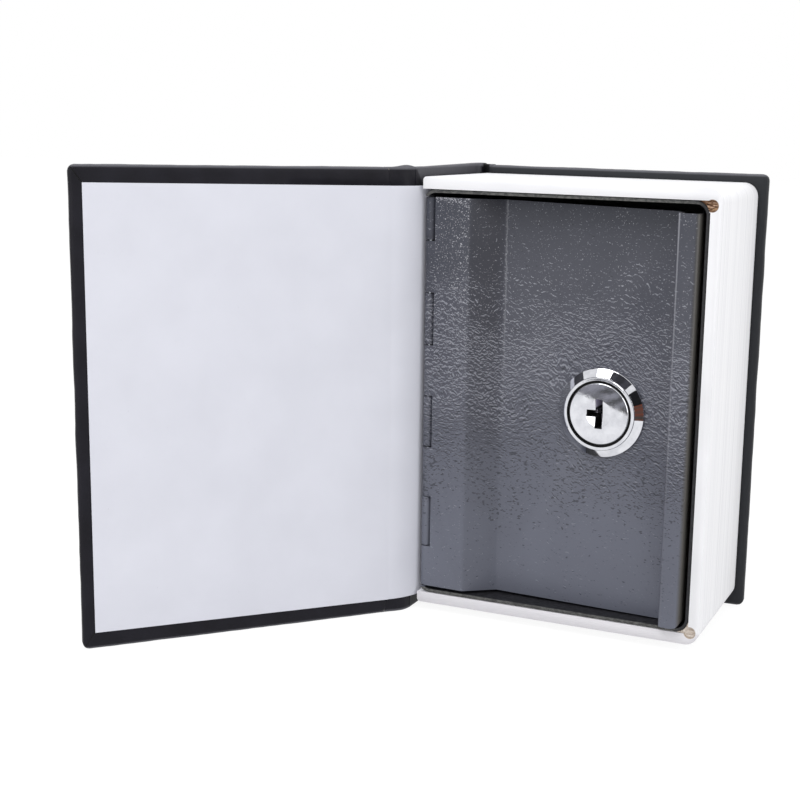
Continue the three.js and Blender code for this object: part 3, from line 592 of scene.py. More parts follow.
# %% Wrinkle paint on the door: painted glints
# Painted glints: fine pale specks, most on the band and along its head.
glint_specks = noise_of_size(tree, spot, 0.00034, {"Detail": 1.0})
past_knuckles = add_node(
    tree, "MapRange", {"From Min": 2.9 * MM, "From Max": 3.3 * MM}, {"Value": axes.outputs["X"]},
)
flat_band = add_node(
    tree, "Math", {"operation": "MULTIPLY"}, {0: on_band.outputs[0], 1: past_knuckles.outputs[0]},
)
lower = add_node(
    tree, "MapRange", {"From Min": 0.45, "From Max": 0.75, "To Min": 0.79, "To Max": 0.69},
    {"Value": upness.outputs[0]},
)
on_band_lower = add_node(
    tree, "Math", {"operation": "MULTIPLY_ADD", 1: -0.07},
    {0: flat_band.outputs[0], 2: lower.outputs[0]},
)
glints_near_head = add_node(
    tree, "MapRange", {"From Min": 106.3 * MM, "From Max": 107.6 * MM, "To Max": 0.16},
    {"Value": axes.outputs["Z"]},
)
head_glints_on_band = add_node(
    tree, "Math", {"operation": "MULTIPLY"}, {0: glints_near_head.outputs[0], 1: flat_band.outputs[0]},
)
limit = add_node(
    tree, "Math", {"operation": "SUBTRACT"},
    {0: on_band_lower.outputs[0], 1: head_glints_on_band.outputs[0]},
)
over_limit = add_node(
    tree, "Math", {"operation": "SUBTRACT"}, {0: glint_specks.outputs["Fac"], 1: limit.outputs[0]},
)
glint_strength = add_node(
    tree, "MapRange", {"From Max": 0.08, "To Max": 0.55}, {"Value": over_limit.outputs[0]},
)
print(door_paint.name, "with tips:", len(tree.nodes), "nodes")

# %% [markdown]
# The sheet's bends change the paint's look too. The slope beside the band is painted darker, a
# painted shade where it turns from the light. The crease at its foot and the ridge's left bend are
# painted lighter, two fine lines of painted highlight where the bends catch the light. The edge
# that turns in at the right is painted a brown grey.

# %% Wrinkle paint on the door: bends
# Painted shade on the slope beside the band.
past_band = add_node(
    tree, "MapRange", {"From Min": 11.9 * MM, "From Max": 13.4 * MM}, {"Value": axes.outputs["X"]},
)
before_recess = add_node(
    tree, "MapRange", {"From Min": 20.8 * MM, "From Max": 18.2 * MM}, {"Value": axes.outputs["X"]},
)
slope = add_node(
    tree, "Math", {"operation": "MULTIPLY"},
    {0: past_band.outputs[0], 1: before_recess.outputs[0]},
)
slope_strength = add_node(
    tree, "MapRange", {"From Min": 0.2, "From Max": 0.75, "To Min": 0.1, "To Max": 0.42},
    {"Value": upness.outputs[0]},
)
slope_dark = add_node(
    tree, "Math", {"operation": "MULTIPLY"}, {0: slope.outputs[0], 1: slope_strength.outputs[0]},
)
# Painted highlights: fine light lines at the slope's foot and at the ridge's left bend.
wiggle = add_node(
    tree, "Math", {"operation": "MULTIPLY_ADD", 1: 1.2 * MM},
    {0: ridges.outputs["Fac"], 2: axes.outputs["X"]},
)
off_crease = distance_from(tree, wiggle.outputs[0], SLOPE_FOOT * MM)
crease = add_node(
    tree, "MapRange", {"From Min": 0.28 * MM, "From Max": 0.08 * MM, "To Max": 0.28},
    {"Value": off_crease.outputs[0]},
)
crease_fade = add_node(
    tree, "MapRange", {"From Min": 0.45, "From Max": 0.8}, {"Value": upness.outputs[0]},
)
crease_line = add_node(
    tree, "Math", {"operation": "MULTIPLY"}, {0: crease.outputs[0], 1: crease_fade.outputs[0]},
)
off_bend = distance_from(tree, axes.outputs["X"], RIDGE_BEND * MM)
bend = add_node(
    tree, "MapRange", {"From Min": 0.32 * MM, "From Max": 0.12 * MM},
    {"Value": off_bend.outputs[0]},
)
bend_fade = add_node(
    tree, "MapRange", {"From Min": 0.3, "From Max": 0.95, "To Min": 0.06, "To Max": 0.6},
    {"Value": upness.outputs[0]},
)
bend_line = add_node(
    tree, "Math", {"operation": "MULTIPLY"}, {0: bend.outputs[0], 1: bend_fade.outputs[0]},
)
bend_highlights = add_node(
    tree, "Math", {"operation": "MAXIMUM"}, {0: crease_line.outputs[0], 1: bend_line.outputs[0]},
)
# The edge that turns in at the right is painted brown grey.
turned_edge = add_node(
    tree, "MapRange", {"From Min": 69.9 * MM, "From Max": 70.7 * MM}, {"Value": axes.outputs["X"]},
)
print(door_paint.name, "with bends:", len(tree.nodes), "nodes")

# %% Wrinkle paint on the door: colours
# Painted shading: the ground darkens towards the head and lightens towards the tail, a painted
# reflection of the floor.
ground_painted_gradient = add_node(
    tree, "ValToRGB",
    {"stops": [(0.0, "666975"), (0.35, "5C5E69"), (0.6, "494A54"), (1.0, "3A3C45")]},
    {"Fac": upness.outputs[0]},
)
lights = add_node(
    tree, "ValToRGB", {"stops": [(0.0, "7D808A"), (0.5, "84868F"), (1.0, "8E9098")]},
    {"Fac": upness.outputs[0]},
)
darks = add_node(
    tree, "ValToRGB", {"stops": [(0.0, "3E4048"), (0.5, "2E2F35"), (1.0, "2A2B30")]},
    {"Fac": upness.outputs[0]},
)
slope_shaded = add_node(
    tree, "Mix", {"data_type": "RGBA", 7: linear("2C2B2E")},
    {0: slope_dark.outputs[0], 6: ground_painted_gradient.outputs["Color"]},
)
with_dark = add_node(
    tree, "Mix", {"data_type": "RGBA"},
    {0: flank_and_pit_shade.outputs[0], 6: slope_shaded.outputs[2], 7: darks.outputs["Color"]},
)
with_light = add_node(
    tree, "Mix", {"data_type": "RGBA"},
    {0: painted_lit_flank.outputs[0], 6: with_dark.outputs[2], 7: lights.outputs["Color"]},
)
with_lines = add_node(
    tree, "Mix", {"data_type": "RGBA", 7: linear("9A9BA1")},
    {0: bend_highlights.outputs[0], 6: with_light.outputs[2]},
)
painted = add_node(
    tree, "Mix", {"data_type": "RGBA", 7: linear("C6C6CC")},
    {0: glint_strength.outputs[0], 6: with_lines.outputs[2]},
)
brown_grey_edge = add_node(
    tree, "Mix", {"data_type": "RGBA", 7: linear("474542")},
    {0: turned_edge.outputs[0], 6: painted.outputs[2]},
)
skin = add_node(
    tree, "Bump", {"Distance": 0.06 * MM},
    {"Height": ridges.outputs["Fac"], "Strength": relief.outputs[0]},
)
baked_enamel = {"Roughness": 0.42, "Specular IOR Level": 0.3}
join_surface(tree, shader, brown_grey_edge.outputs[2], skin, baked_enamel)
print(door_paint.name, len(tree.nodes), "nodes")

# %% [markdown]
# The box has the same paint, and its hinge knuckles take the door's finish. Its inside and its rim
# on the far right are painted dark, a painted shade inside the box; its front rim keeps a lighter
# grey.

# %% Wrinkle paint on the box
box_paint, tree, shader = new_finish("wrinkle_paint_box")
spot = add_node(tree, "TexCoord").outputs["Object"]
axes = own_axes(tree, spot, block_origin)
ridges = ridge_noise(tree, spot, 0, 0.5)
rim_tone = add_node(
    tree, "ValToRGB", {"stops": [(0.4, "3A3A3A"), (0.62, "5C5C5A")]},
    {"Fac": ridges.outputs["Fac"]},
)
# Painted shade: the box's inside and its far right rim are painted dark.
shaded_inside_tone = add_node(
    tree, "ValToRGB", {"stops": [(0.4, "17171A"), (0.62, "26262A")]},
    {"Fac": ridges.outputs["Fac"]},
)
depth = add_node(
    tree, "MapRange", {"From Min": 0.5 * MM, "From Max": 0.8 * MM}, {"Value": axes.outputs["Y"]},
)
far_side = add_node(
    tree, "MapRange", {"From Min": 69.0 * MM, "From Max": 71.0 * MM}, {"Value": axes.outputs["X"]},
)
painted_shade_part = add_node(
    tree, "Math", {"operation": "MAXIMUM"}, {0: depth.outputs[0], 1: far_side.outputs[0]},
)
rim_and_shaded_inside = add_node(
    tree, "Mix", {"data_type": "RGBA"},
    {0: painted_shade_part.outputs[0], 6: rim_tone.outputs["Color"], 7: shaded_inside_tone.outputs["Color"]},
)
skin = add_node(
    tree, "Bump", {"Distance": 0.05 * MM, "Strength": 0.6}, {"Height": ridges.outputs["Fac"]},
)
join_surface(tree, shader, rim_and_shaded_inside.outputs[2], skin, baked_enamel)
print(box_paint.name, len(tree.nodes), "nodes")

# %% [markdown]
# The lock's head and plug are zinc castings, polished and chromed. Chrome has hardly any colour of
# its own, so it is all reflection. Polishing leaves it slightly uneven, and that keeps it from
# looking like a perfect mirror. The bath doesn't reach into narrow gaps: the plug's side and the
# keyway's walls stay dull, and so does the head's bore from a millimetre down. They are painted
# near black, partly graphite from the key and partly painted shade in the gaps, and the keyway's
# upper wall is painted pale, a painted highlight where light reaches in.

# %% Chrome
LOCK_FACE = IN_DOOR @ Vector((46.9, 4.5, 56.6))
BORE_RADIUS, DISH_RADIUS, DISH_DEPTH = 8.35, 3.4, 0.35
chrome_finish, tree, shader = new_finish("chrome_plated_zinc")
spot = add_node(tree, "TexCoord").outputs["Object"]
marks = noise_of_size(tree, spot, 0.003, {"Detail": 3.0, "Roughness": 0.6})
silver = add_node(
    tree, "ValToRGB", {"stops": [(0.35, "DDDEE3"), (0.65, "CDCED4")]},
    {"Fac": marks.outputs["Fac"]},
)
lock_axes = own_axes(tree, spot, LOCK_FACE, DOOR_AJAR)
across = add_node(
    tree, "CombineXYZ", links={"X": lock_axes.outputs["X"], "Z": lock_axes.outputs["Z"]},
)
radius = add_node(tree, "VectorMath", {"operation": "LENGTH"}, {0: across.outputs[0]})
in_bore = add_node(
    tree, "MapRange", {"From Min": (BORE_RADIUS + 0.2) * MM, "From Max": (BORE_RADIUS + 0.1) * MM},
    {"Value": radius.outputs["Value"]},
)
bore_start = add_node(
    tree, "MapRange",
    {"From Min": (BORE_RADIUS - 0.4) * MM, "From Max": (BORE_RADIUS - 0.2) * MM,
     "To Max": 0.8 * MM},
    {"Value": radius.outputs["Value"]},
)
dish_start = add_node(
    tree, "MapRange",
    {"From Min": (DISH_RADIUS + 0.4) * MM, "From Max": (DISH_RADIUS + 0.1) * MM,
     "To Max": DISH_DEPTH * MM},
    {"Value": radius.outputs["Value"]},
)
print(chrome_finish.name, "places:", len(tree.nodes), "nodes")

# %% Chrome: dull walls
plated_depth = add_node(
    tree, "Math", {"operation": "ADD"}, {0: bore_start.outputs[0], 1: dish_start.outputs[0]},
)
below_plating = add_node(
    tree, "Math", {"operation": "SUBTRACT"},
    {0: lock_axes.outputs["Y"], 1: plated_depth.outputs[0]},
)
below_face = add_node(
    tree, "MapRange", {"From Min": 0.16 * MM, "From Max": 0.3 * MM},
    {"Value": below_plating.outputs[0]},
)
above_panel = add_node(
    tree, "MapRange", {"From Min": 6.0 * MM, "From Max": 5.0 * MM},
    {"Value": lock_axes.outputs["Y"]},
)
hidden = add_node(
    tree, "Math", {"operation": "MULTIPLY"}, {0: below_face.outputs[0], 1: above_panel.outputs[0]},
)
dull = add_node(
    tree, "Math", {"operation": "MULTIPLY"}, {0: hidden.outputs[0], 1: in_bore.outputs[0]},
)
# Painted highlight on the keyway's upper wall; the other dull walls are near black, graphite and
# painted shade.
keyway_top = add_node(
    tree, "MapRange", {"From Min": 1.3 * MM, "From Max": 1.7 * MM},
    {"Value": lock_axes.outputs["Z"]},
)
keyway_middle = add_node(
    tree, "MapRange", {"From Min": 5.0 * MM, "From Max": 4.6 * MM},
    {"Value": radius.outputs["Value"]},
)
lit_wall = add_node(
    tree, "Math", {"operation": "MULTIPLY"},
    {0: keyway_top.outputs[0], 1: keyway_middle.outputs[0]},
)
graphite_and_shade = add_node(
    tree, "Mix", {"data_type": "RGBA", 6: linear("0E0E10"), 7: linear("C8C4D6")},
    {0: lit_wall.outputs[0]},
)
plated = add_node(
    tree, "Mix", {"data_type": "RGBA"},
    {0: dull.outputs[0], 6: silver.outputs["Color"], 7: graphite_and_shade.outputs[2]},
)
shine = add_node(
    tree, "MapRange", {"From Min": 0.3, "From Max": 0.7, "To Min": 0.02, "To Max": 0.05},
    {"Value": marks.outputs["Fac"]},
)
polish = add_node(tree, "Mix", {3: 0.7}, {0: dull.outputs[0], 2: shine.outputs[0]})
bare = add_node(tree, "Math", {"operation": "SUBTRACT", 0: 1.0}, {1: dull.outputs[0]})
dents = add_node(
    tree, "Bump", {"Distance": 0.012 * MM, "Strength": 0.3}, {"Height": marks.outputs["Fac"]},
)
join_surface(tree, shader, plated.outputs[2], dents, {})
tree.links.new(polish.outputs[0], shader.inputs["Roughness"])
tree.links.new(bare.outputs[0], shader.inputs["Metallic"])
print(chrome_finish.name, len(tree.nodes), "nodes")

# %% [markdown]
# The other metals are rougher. Zinc plating shows a fine crystal mottle, spring wire is drawn
# smooth, and the wafers are stamped from brass sheet that graphite has blackened in the lock.

# %% Other metals
METALS = {
    "zinc": ("zinc_plated_steel", "BCC0C6", "9FA3AA", 0.25, 0.4, 0.0006, 0.02),
    "brass": (
        "blackened_brass_sheet", "A8A4B0", "7E7A84", 0.35, 0.5, (0.0004, 0.002, 0.002), 0.015,
    ),
    "spring": ("drawn_spring_wire", "A3A8AF", "868B92", 0.2, 0.3, 0.0003, 0.01),
}
metal_finishes = {"chrome": chrome_finish}
for slot, (name, light, dark, smooth, rough, feature, dent) in METALS.items():
    metal_finishes[slot], tree, shader = new_finish(name)
    spot = add_node(tree, "TexCoord").outputs["Object"]
    marks = noise_of_size(tree, spot, feature, {"Detail": 3.0, "Roughness": 0.6})
    colours = add_node(
        tree, "ValToRGB", {"stops": [(0.35, light), (0.65, dark)]}, {"Fac": marks.outputs["Fac"]},
    )
    polish = add_node(
        tree, "MapRange",
        {"From Min": 0.3, "From Max": 0.7, "To Min": smooth, "To Max": rough},
        {"Value": marks.outputs["Fac"]},
    )
    dents = add_node(
        tree, "Bump", {"Distance": dent * MM, "Strength": 0.3}, {"Height": marks.outputs["Fac"]},
    )
    join_surface(tree, shader, colours.outputs["Color"], dents, {"Metallic": 1.0})
    tree.links.new(polish.outputs[0], shader.inputs["Roughness"])
print("metals:", ", ".join(m.name for m in metal_finishes.values()))

# %% [markdown]
# The boards inside the cloth are greyboard, pressed from waste paper. It is dull and grey brown,
# with fibres of all tones that lie along the sheet.

# %% Greyboard
greyboard_finish, tree, shader = new_finish("greyboard")
spot = add_node(tree, "TexCoord").outputs["Object"]
pulp = noise_of_size(tree, spot, (0.0012, 0.0006, 0.0006), {"Detail": 4.0})
greys = add_node(
    tree, "ValToRGB", {"stops": [(0.3, "7C766A"), (0.7, "9C9588")]}, {"Fac": pulp.outputs["Fac"]},
)
pulp_dent = add_node(
    tree, "Bump", {"Distance": 0.04 * MM, "Strength": 0.6}, {"Height": pulp.outputs["Fac"]},
)
join_surface(tree, shader, greys.outputs["Color"], pulp_dent, {"Roughness": 0.9})
print(greyboard_finish.name, len(tree.nodes), "nodes")

# %% Which finish and which body each piece has
FINISHES = {
    "cloth": leatherette, "board": greyboard_finish, "endpaper": endpaper_finish,
    "pages": pages_finish, "box_paint": box_paint, "door_paint": door_paint, **metal_finishes,
}
SLOT_OF = {s["node"]: s["material_slot"] for s in frame["record"]["subparts"]}
BODY_OF = {
    node: body for body, nodes in frame["record"]["behaviour"]["bodies"].items() for node in nodes
}
print("slots:", ", ".join(FINISHES))

# %% [markdown]
# Most metal and board pieces already have the right shape in the CAD model. What they lack is
# what every made thing has: edges that are slightly broken, and curves without facets. A copy of
# each mesh gets its flat triangles merged, its sharp edges bevelled and its curves smoothed.

# %% Piece helpers
SHARP_ANGLE, SAME_PLACE = 30, 2e-6


def finish_mesh(name, mesh, slot, body, nodes, smooth=32, finish=None):
    """Makes a mesh into a shown piece that stands for CAD nodes."""
    for polygon in mesh.polygons:
        polygon.use_smooth = True
    mesh.set_sharp_from_angle(angle=math.radians(smooth))
    piece = put_in_scene(name, mesh)
    mesh.materials.clear()
    mesh.materials.append(finish or FINISHES[slot])
    if body:
        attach(piece, body)
    if nodes:
        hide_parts(*nodes)
    return piece


def broken_edges(node, width, flat):
    """A CAD node's mesh, merged where it is flat within degrees, bevelled by width millimetres."""
    mesh = frame["nodes"][node].data.copy()
    shape = bmesh.new()
    shape.from_mesh(mesh)
    bmesh.ops.remove_doubles(shape, verts=shape.verts, dist=SAME_PLACE)
    bmesh.ops.dissolve_limit(
        shape, angle_limit=math.radians(flat), verts=shape.verts, edges=shape.edges,
    )
    sharp = [
        e for e in shape.edges
        if len(e.link_faces) == 2 and e.calc_face_angle(0) > math.radians(SHARP_ANGLE)
    ]
    if width:
        bmesh.ops.bevel(
            shape, geom=sharp, offset=width * MM, segments=2, profile=0.5,
            affect="EDGES", clamp_overlap=True,
        )
    shape.to_mesh(mesh)
    shape.free()
    # The normals that came with the CAD file don't fit the merged faces.
    mesh.attributes.remove(mesh.attributes["custom_normal"])
    return mesh


print("helpers for pieces and edges")

# %% Metal, board and page pieces
EDGE_WIDTHS = {
    "box_body": 0.12, "door_panel": 0.14, "strike_plate": 0.12, "hinge_pin": 0.08,
    "lock_housing": 0.06, "lock_plug": 0.05, "toothed_washer": 0.05, "lock_nut": 0.08,
    "stop_washer": 0.08, "lock_cam": 0.1, "cam_washer": 0.06, "cam_screw": 0.06,
    "front_board": 0.1, "back_board": 0.1, "spine_board": 0.05, "page_strip": 0.22,
    "back_endpaper": 0.03,
}
for number in range(1, 6):
    EDGE_WIDTHS[f"wafer_{number}"] = 0.05
    EDGE_WIDTHS[f"wafer_spring_{number}"] = 0
for node, width in EDGE_WIDTHS.items():
    # A mirror shows every blend of normals, so the chrome's flats stay apart from its curves.
    smooth, flat = (7, 0.1) if SLOT_OF[node] == "chrome" else (32, 1.0)
    mesh = broken_edges(node, width, flat)
    finish_mesh(f"{node}_look", mesh, SLOT_OF[node], BODY_OF[node], [node], smooth)
print(len(EDGE_WIDTHS), "pieces with broken edges")

# %% [markdown]
# The box's hinge knuckles were sprayed together with the door, so their faces take its paint.

# %% Knuckles of the box
KNUCKLE_REACH = (3.0, 3.5)
box_mesh = bpy.data.objects["box_body_look"].data
box_mesh.materials.append(door_paint)
knuckle_faces = 0
for polygon in box_mesh.polygons:
    x, y, _ = (polygon.center - block_origin) / MM
    if x < KNUCKLE_REACH[0] and y < KNUCKLE_REACH[1]:
        polygon.material_index = 1
        knuckle_faces += 1
print(knuckle_faces, "faces of the box are hinge knuckles")

# %% [markdown]
# Each fold's groove, and the corner that the box's rounded bend leaves open beside it, is packed
# with crushed fibre a little behind the face. It is a small rough cushion: the squares of a fine
# grid that lie in the groove or the corner, each raised by noise, with a flat back. At the head
# the printed paper still covers the groove's lower right side, so a second cushion lies flush
# there, and the brown shows as a leaf.

# %% Cushions of fibre
CUSHION_STEP, CUSHION_BACK = 0.16, 2.6
CUSHION_X, CUSHION_Z = range(-34, 16), range(-30, 31)
LUMP = 0.5
SIDES = (((0, -1), (0, 1)), ((1, 0), (1, 2)), ((0, 1), (2, 3)), ((-1, 0), (3, 0)))


def cushion(name, centre, wanted, front, rough, finish):
    """A rough cushion on the grid squares whose centres are wanted, front millimetres deep."""
    step = CUSHION_STEP
    spots, squares = {}, {}
    for i in CUSHION_X:
        for j in CUSHION_Z:
            x, z = centre[0] + i * step, centre[1] + j * step
            if wanted(x + step / 2, z + step / 2):
                ring = [(i, j), (i + 1, j), (i + 1, j + 1), (i, j + 1)]
                for a, b in ring:
                    spots.setdefault((a, b), len(spots))
                squares[(i, j)] = [spots[key] for key in ring]
    places = [(centre[0] + i * step, centre[1] + j * step) for i, j in spots]
    points = []
    for x, z in places:
        lump = rough * noise.noise(Vector((x / LUMP, z / LUMP, centre[1])))
        points.append(IN_BLOCK @ Vector((x, front + lump, z)))
    points += [IN_BLOCK @ Vector((x, CUSHION_BACK, z)) for x, z in places]
    count = len(places)
    faces = []
    for (i, j), ring in squares.items():
        faces.append(ring)
        faces.append([n + count for n in reversed(ring)])
        for (di, dj), (a, b) in SIDES:
            if (i + di, j + dj) not in squares:
                a, b = ring[a], ring[b]
                faces.append([b, a, a + count, b + count])
    mesh = bpy.data.meshes.new(name)
    mesh.from_pydata(points, [], faces)
    print(name, len(squares), "squares")
    return finish_mesh(name, mesh, "pages", "safe", [], smooth=60, finish=finish)


print("helper for cushions, squares of", CUSHION_STEP, "mm")

# %% Fibre in the folds
BOX_SIDE, BOX_BEND = 72.75, 3.55
BEND_X, BEND_Z = 69.2, {"tail": 8.5, "head": 106.2}
LEAF_ACROSS, LEAF_START = (0.443, -0.897), 0.75


def in_fold(end, x, z):
    """Whether a point lies in a fold's groove or in the corner beside the box's bend."""
    groove_x, groove_z = GROOVES[end]
    past = (z - BEND_Z[end]) * (1 if end == "head" else -1)
    beside = BEND_X < x < BOX_SIDE and 0 < past < BOX_BEND
    corner = beside and math.hypot(x - BEND_X, past) > BOX_BEND
    return corner or math.hypot(x - groove_x, z - groove_z) < GROOVE_RADIUS - 0.05


def under_paper(x, z):
    """Whether a point of the head's groove lies on the side that paper still covers."""
    groove_x, groove_z = GROOVES["head"]
    return LEAF_ACROSS[0] * (x - groove_x) + LEAF_ACROSS[1] * (z - groove_z) > LEAF_START


cushion(
    "fold_core_head", GROOVES["head"],
    lambda x, z: in_fold("head", x, z) and not under_paper(x, z), 0.6, 0.3, fibre_finish,
)
cushion(
    "fold_paper_head", GROOVES["head"],
    lambda x, z: in_fold("head", x, z) and under_paper(x, z), 0.03, 0, pages_finish,
)
cushion(
    "fold_core_tail", GROOVES["tail"], lambda x, z: in_fold("tail", x, z), 0.3, 0.2, fibre_finish,
)

# %% [markdown]
# A cover is a board in cloth, so it has no sharp edge anywhere and it is never quite flat. It is
# made as a fine grid on a box. The grid's corners are rounded in plan, its edges in section, and
# then every point moves a few hundredths of a millimetre by slow noise, as glued cloth does.
# Blender starts its vector noise from the clock, so it gets a fixed start here, and every run
# makes the same cloth.

# %% Grid on a box


def grid_box(low, high, step):
    """The points and faces of a closed box of small squares."""
    counts = [max(2, round((high[i] - low[i]) / step[i])) for i in range(3)]
    points, index, faces = [], {}, []

    def point(i, j, k):
        key = (i, j, k)
        if key not in index:
            index[key] = len(points)
            points.append(Vector(
                low[a] + (high[a] - low[a]) * n / counts[a] for a, n in enumerate(key)
            ))
        return index[key]

    for axis in range(3):
        u, v = (axis + 1) % 3, (axis + 2) % 3
        for side in (0, counts[axis]):
            for a in range(counts[u]):
                for b in range(counts[v]):
                    ring = []
                    for da, db in ((0, 0), (1, 0), (1, 1), (0, 1)):
                        key = [0, 0, 0]
                        key[axis], key[u], key[v] = side, a + da, b + db
                        ring.append(point(*key))
                    faces.append(ring if side else ring[::-1])
    return points, faces


print("helper for grids on a box")

# %% Rounding a box
TINY = 1e-9


def squared_to_round(a, b):
    """Moves a point of a square's quarter to a circle's quarter of the same reach."""
    length = math.hypot(a, b)
    if length < TINY:
        return a, b
    reach = max(abs(a), abs(b)) / length
    return a * reach, b * reach


def rounded(point, low, high, corner, edge):
    """A box's point after rounding: corner in the x-z plane, edge across the thickness."""
    x = min(max(point.x, low.x + corner), high.x - corner)
    z = min(max(point.z, low.z + corner), high.z - corner)
    dx, dz = squared_to_round(point.x - x, point.z - z)
    out = math.hypot(dx, dz)
    y = min(max(point.y, low.y + edge), high.y - edge)
    core = min(out, corner - edge)
    grow, dy = squared_to_round(out - core, point.y - y)
    scale = (core + grow) / out if out > TINY else 0
    return Vector((x + dx * scale, y + dy, z + dz * scale))


print("helpers for rounded boxes")

# %% Covers
BOARD_START, COVER_THICK = 0.8, 2.4
COVER_GRID = (0.8, 0.3, 0.8)
COVER_CORNER, COVER_EDGE = 1.7, 0.75
WAVE_SIZE, WAVE_PUSH = 9, 0.13
LUMP_SIZE, LUMP_PUSH = 2.6, 0.05
LOOSE_RIM, HELD_SHARE = 3, 0.35
NOISE_START = 1
noise.seed_set(NOISE_START)


def cloth_board(name, inside, outside, into, body, nodes, seed):
    """A board wrapped in cloth, drawn shut in the block frame between two faces."""
    low = Vector((BOARD_START, min(inside, outside), 0))
    high = Vector((FORE_EDGE, max(inside, outside), HEAD))
    points, faces = grid_box(low, high, COVER_GRID)
    placed = []
    for point in points:
        p = rounded(point, low, high, COVER_CORNER, COVER_EDGE)
        rim = min(p.x - low.x, high.x - p.x, p.z - low.z, high.z - p.z)
        push = 1 if rim < LOOSE_RIM else HELD_SHARE
        x, y, z = (n / WAVE_SIZE for n in p)
        wave = noise.noise_vector(Vector((x + seed, y, z)))
        x, y, z = (n / LUMP_SIZE for n in p)
        lump = noise.noise_vector(Vector((x, y + seed, z)))
        sway = Vector((wave.x, wave.y, wave.z * 0.6))
        p += sway * WAVE_PUSH * push + lump * LUMP_PUSH * push
        placed.append(into @ p)
    mesh = bpy.data.meshes.new(name)
    mesh.from_pydata(placed, [], faces)
    return finish_mesh(name, mesh, "cloth", body, nodes, smooth=75)


front_cloth = cloth_board(
    "front_cloth_look", COVER_INSIDE, COVER_INSIDE - COVER_THICK, IN_COVER,
    "front_cover", ["front_cloth"], 3.0,
)
back_cloth = cloth_board(
    "back_cloth_look", BACK_INSIDE, BACK_INSIDE + COVER_THICK, IN_BLOCK,
    "safe", ["case_cloth"], 8.0,
)
print("cover grids", len(front_cloth.data.vertices), len(back_cloth.data.vertices))

# %% [markdown]
# Spine, joints and the free endpaper are bands: two lines in plan with a thickness between them,
# drawn upwards. The band's rims are rounded, and its head and tail can rise or sink along it.

# %% Smooth lines
CURVE_STEPS = 24


def smooth_line(points, count):
    """Evenly spread points on a smooth curve through the given ones."""
    curve = []
    ends = [points[0] * 2 - points[1], *points, points[-1] * 2 - points[-2]]
    for i in range(1, len(ends) - 2):
        p0, p1, p2, p3 = ends[i - 1:i + 3]
        for k in range(CURVE_STEPS):
            t = k / CURVE_STEPS
            curve.append(0.5 * (
                2 * p1 + (p2 - p0) * t + (2 * p0 - 5 * p1 + 4 * p2 - p3) * t ** 2
                + (3 * p1 - p0 - 3 * p2 + p3) * t ** 3
            ))
    curve.append(points[-1])
    reach = [0.0]
    for a, b in zip(curve, curve[1:]):
        reach.append(reach[-1] + (b - a).length)
    spread = []
    for n in range(count + 1):
        goal = reach[-1] * n / count
        i = max(j for j, r in enumerate(reach) if r <= goal + TINY)
        i = min(i, len(curve) - 2)
        part = (goal - reach[i]) / max(reach[i + 1] - reach[i], TINY)
        spread.append(curve[i].lerp(curve[i + 1], min(part, 1)))
    return spread


print("helper for smooth lines")

# %% Bands: places and meshes


def shut_to_open(x, y):
    """Where a point of the shut cover lies in the block frame with the cover open."""
    p = IN_BLOCK.inverted() @ (IN_COVER @ Vector((x, y, 0)))
    return Vector((p.x, p.y))


def closed_mesh(name, points, faces):
    """A mesh whose faces all look outwards."""
    mesh = bpy.data.meshes.new(name)
    mesh.from_pydata(points, [], faces)
    shape = bmesh.new()
    shape.from_mesh(mesh)
    bmesh.ops.recalc_face_normals(shape, faces=shape.faces)
    shape.to_mesh(mesh)
    shape.free()
    return mesh


print("helpers for places on the open cover and for closed meshes")

# %% Bands
BAND_ROW, RIM_STEPS, THIN_SHARE = 1.2, 4, 0.04
RIPPLE_ACROSS, RIPPLE_UP = 5, 8


def band(name, line, thicknesses, tail, head, rim, seed=0.0, ripple=0.0):
    """A closed band: line is its middle in plan, thicknesses and heights follow it."""
    count = len(line) - 1
    sides = []
    for i, point in enumerate(line):
        ahead = line[min(i + 1, count)] - line[max(i - 1, 0)]
        ahead.normalize()
        sides.append(Vector((-ahead.y, ahead.x)))
    rows = max(8, round((head[0] - tail[0]) / BAND_ROW))
    levels = []
    for k in range(RIM_STEPS + 1):
        a = math.radians(90 * k / RIM_STEPS)
        levels.append((rim * (1 - math.sin(a)), rim * (1 - math.cos(a))))
    heights = [(0, inset, lift) for inset, lift in levels]
    heights += [(k / rows, 0.0, 0.0) for k in range(1, rows)]
    heights += [(1, inset, -lift) for inset, lift in reversed(levels)]
    points, faces = [], []
    around = 2 * (count + 1)
    for share, inset, lift in heights:
        for half in (1, -1):
            order = range(count + 1) if half == 1 else range(count, -1, -1)
            for i in order:
                low, high = tail[i], head[i]
                z = low + (high - low) * share + lift
                if 0 < share < 1:
                    z = (low + rim) + (high - low - 2 * rim) * share
                out = max(thicknesses[i] / 2 - inset, thicknesses[i] * THIN_SHARE)
                flat = line[i] + sides[i] * half * out
                wave = noise.noise_vector(Vector((
                    flat.x / RIPPLE_ACROSS + seed, flat.y / RIPPLE_ACROSS, z / RIPPLE_UP,
                )))
                points.append(IN_BLOCK @ Vector((
                    flat.x + wave.x * ripple, flat.y + wave.y * ripple, z + wave.z * ripple * 0.5,
                )))
    for row in range(len(heights) - 1):
        for i in range(around):
            a, b = row * around + i, row * around + (i + 1) % around
            faces.append([a, b, b + around, a + around])
    for row, flip in ((0, True), (len(heights) - 1, False)):
        start = row * around
        for i in range(count):
            ring = [start + i, start + i + 1, start + around - 2 - i, start + around - 1 - i]
            faces.append(ring if flip else ring[::-1])
    return closed_mesh(name, points, faces)


print("helper for bands, rows of", BAND_ROW, "mm")

# %% [markdown]
# The spine runs from the front joint back to the rear crease and on to the back cover. Its card
# gives way to the crease's thicker cloth, its head rises a little towards the back and sinks where
# it meets the back cover.

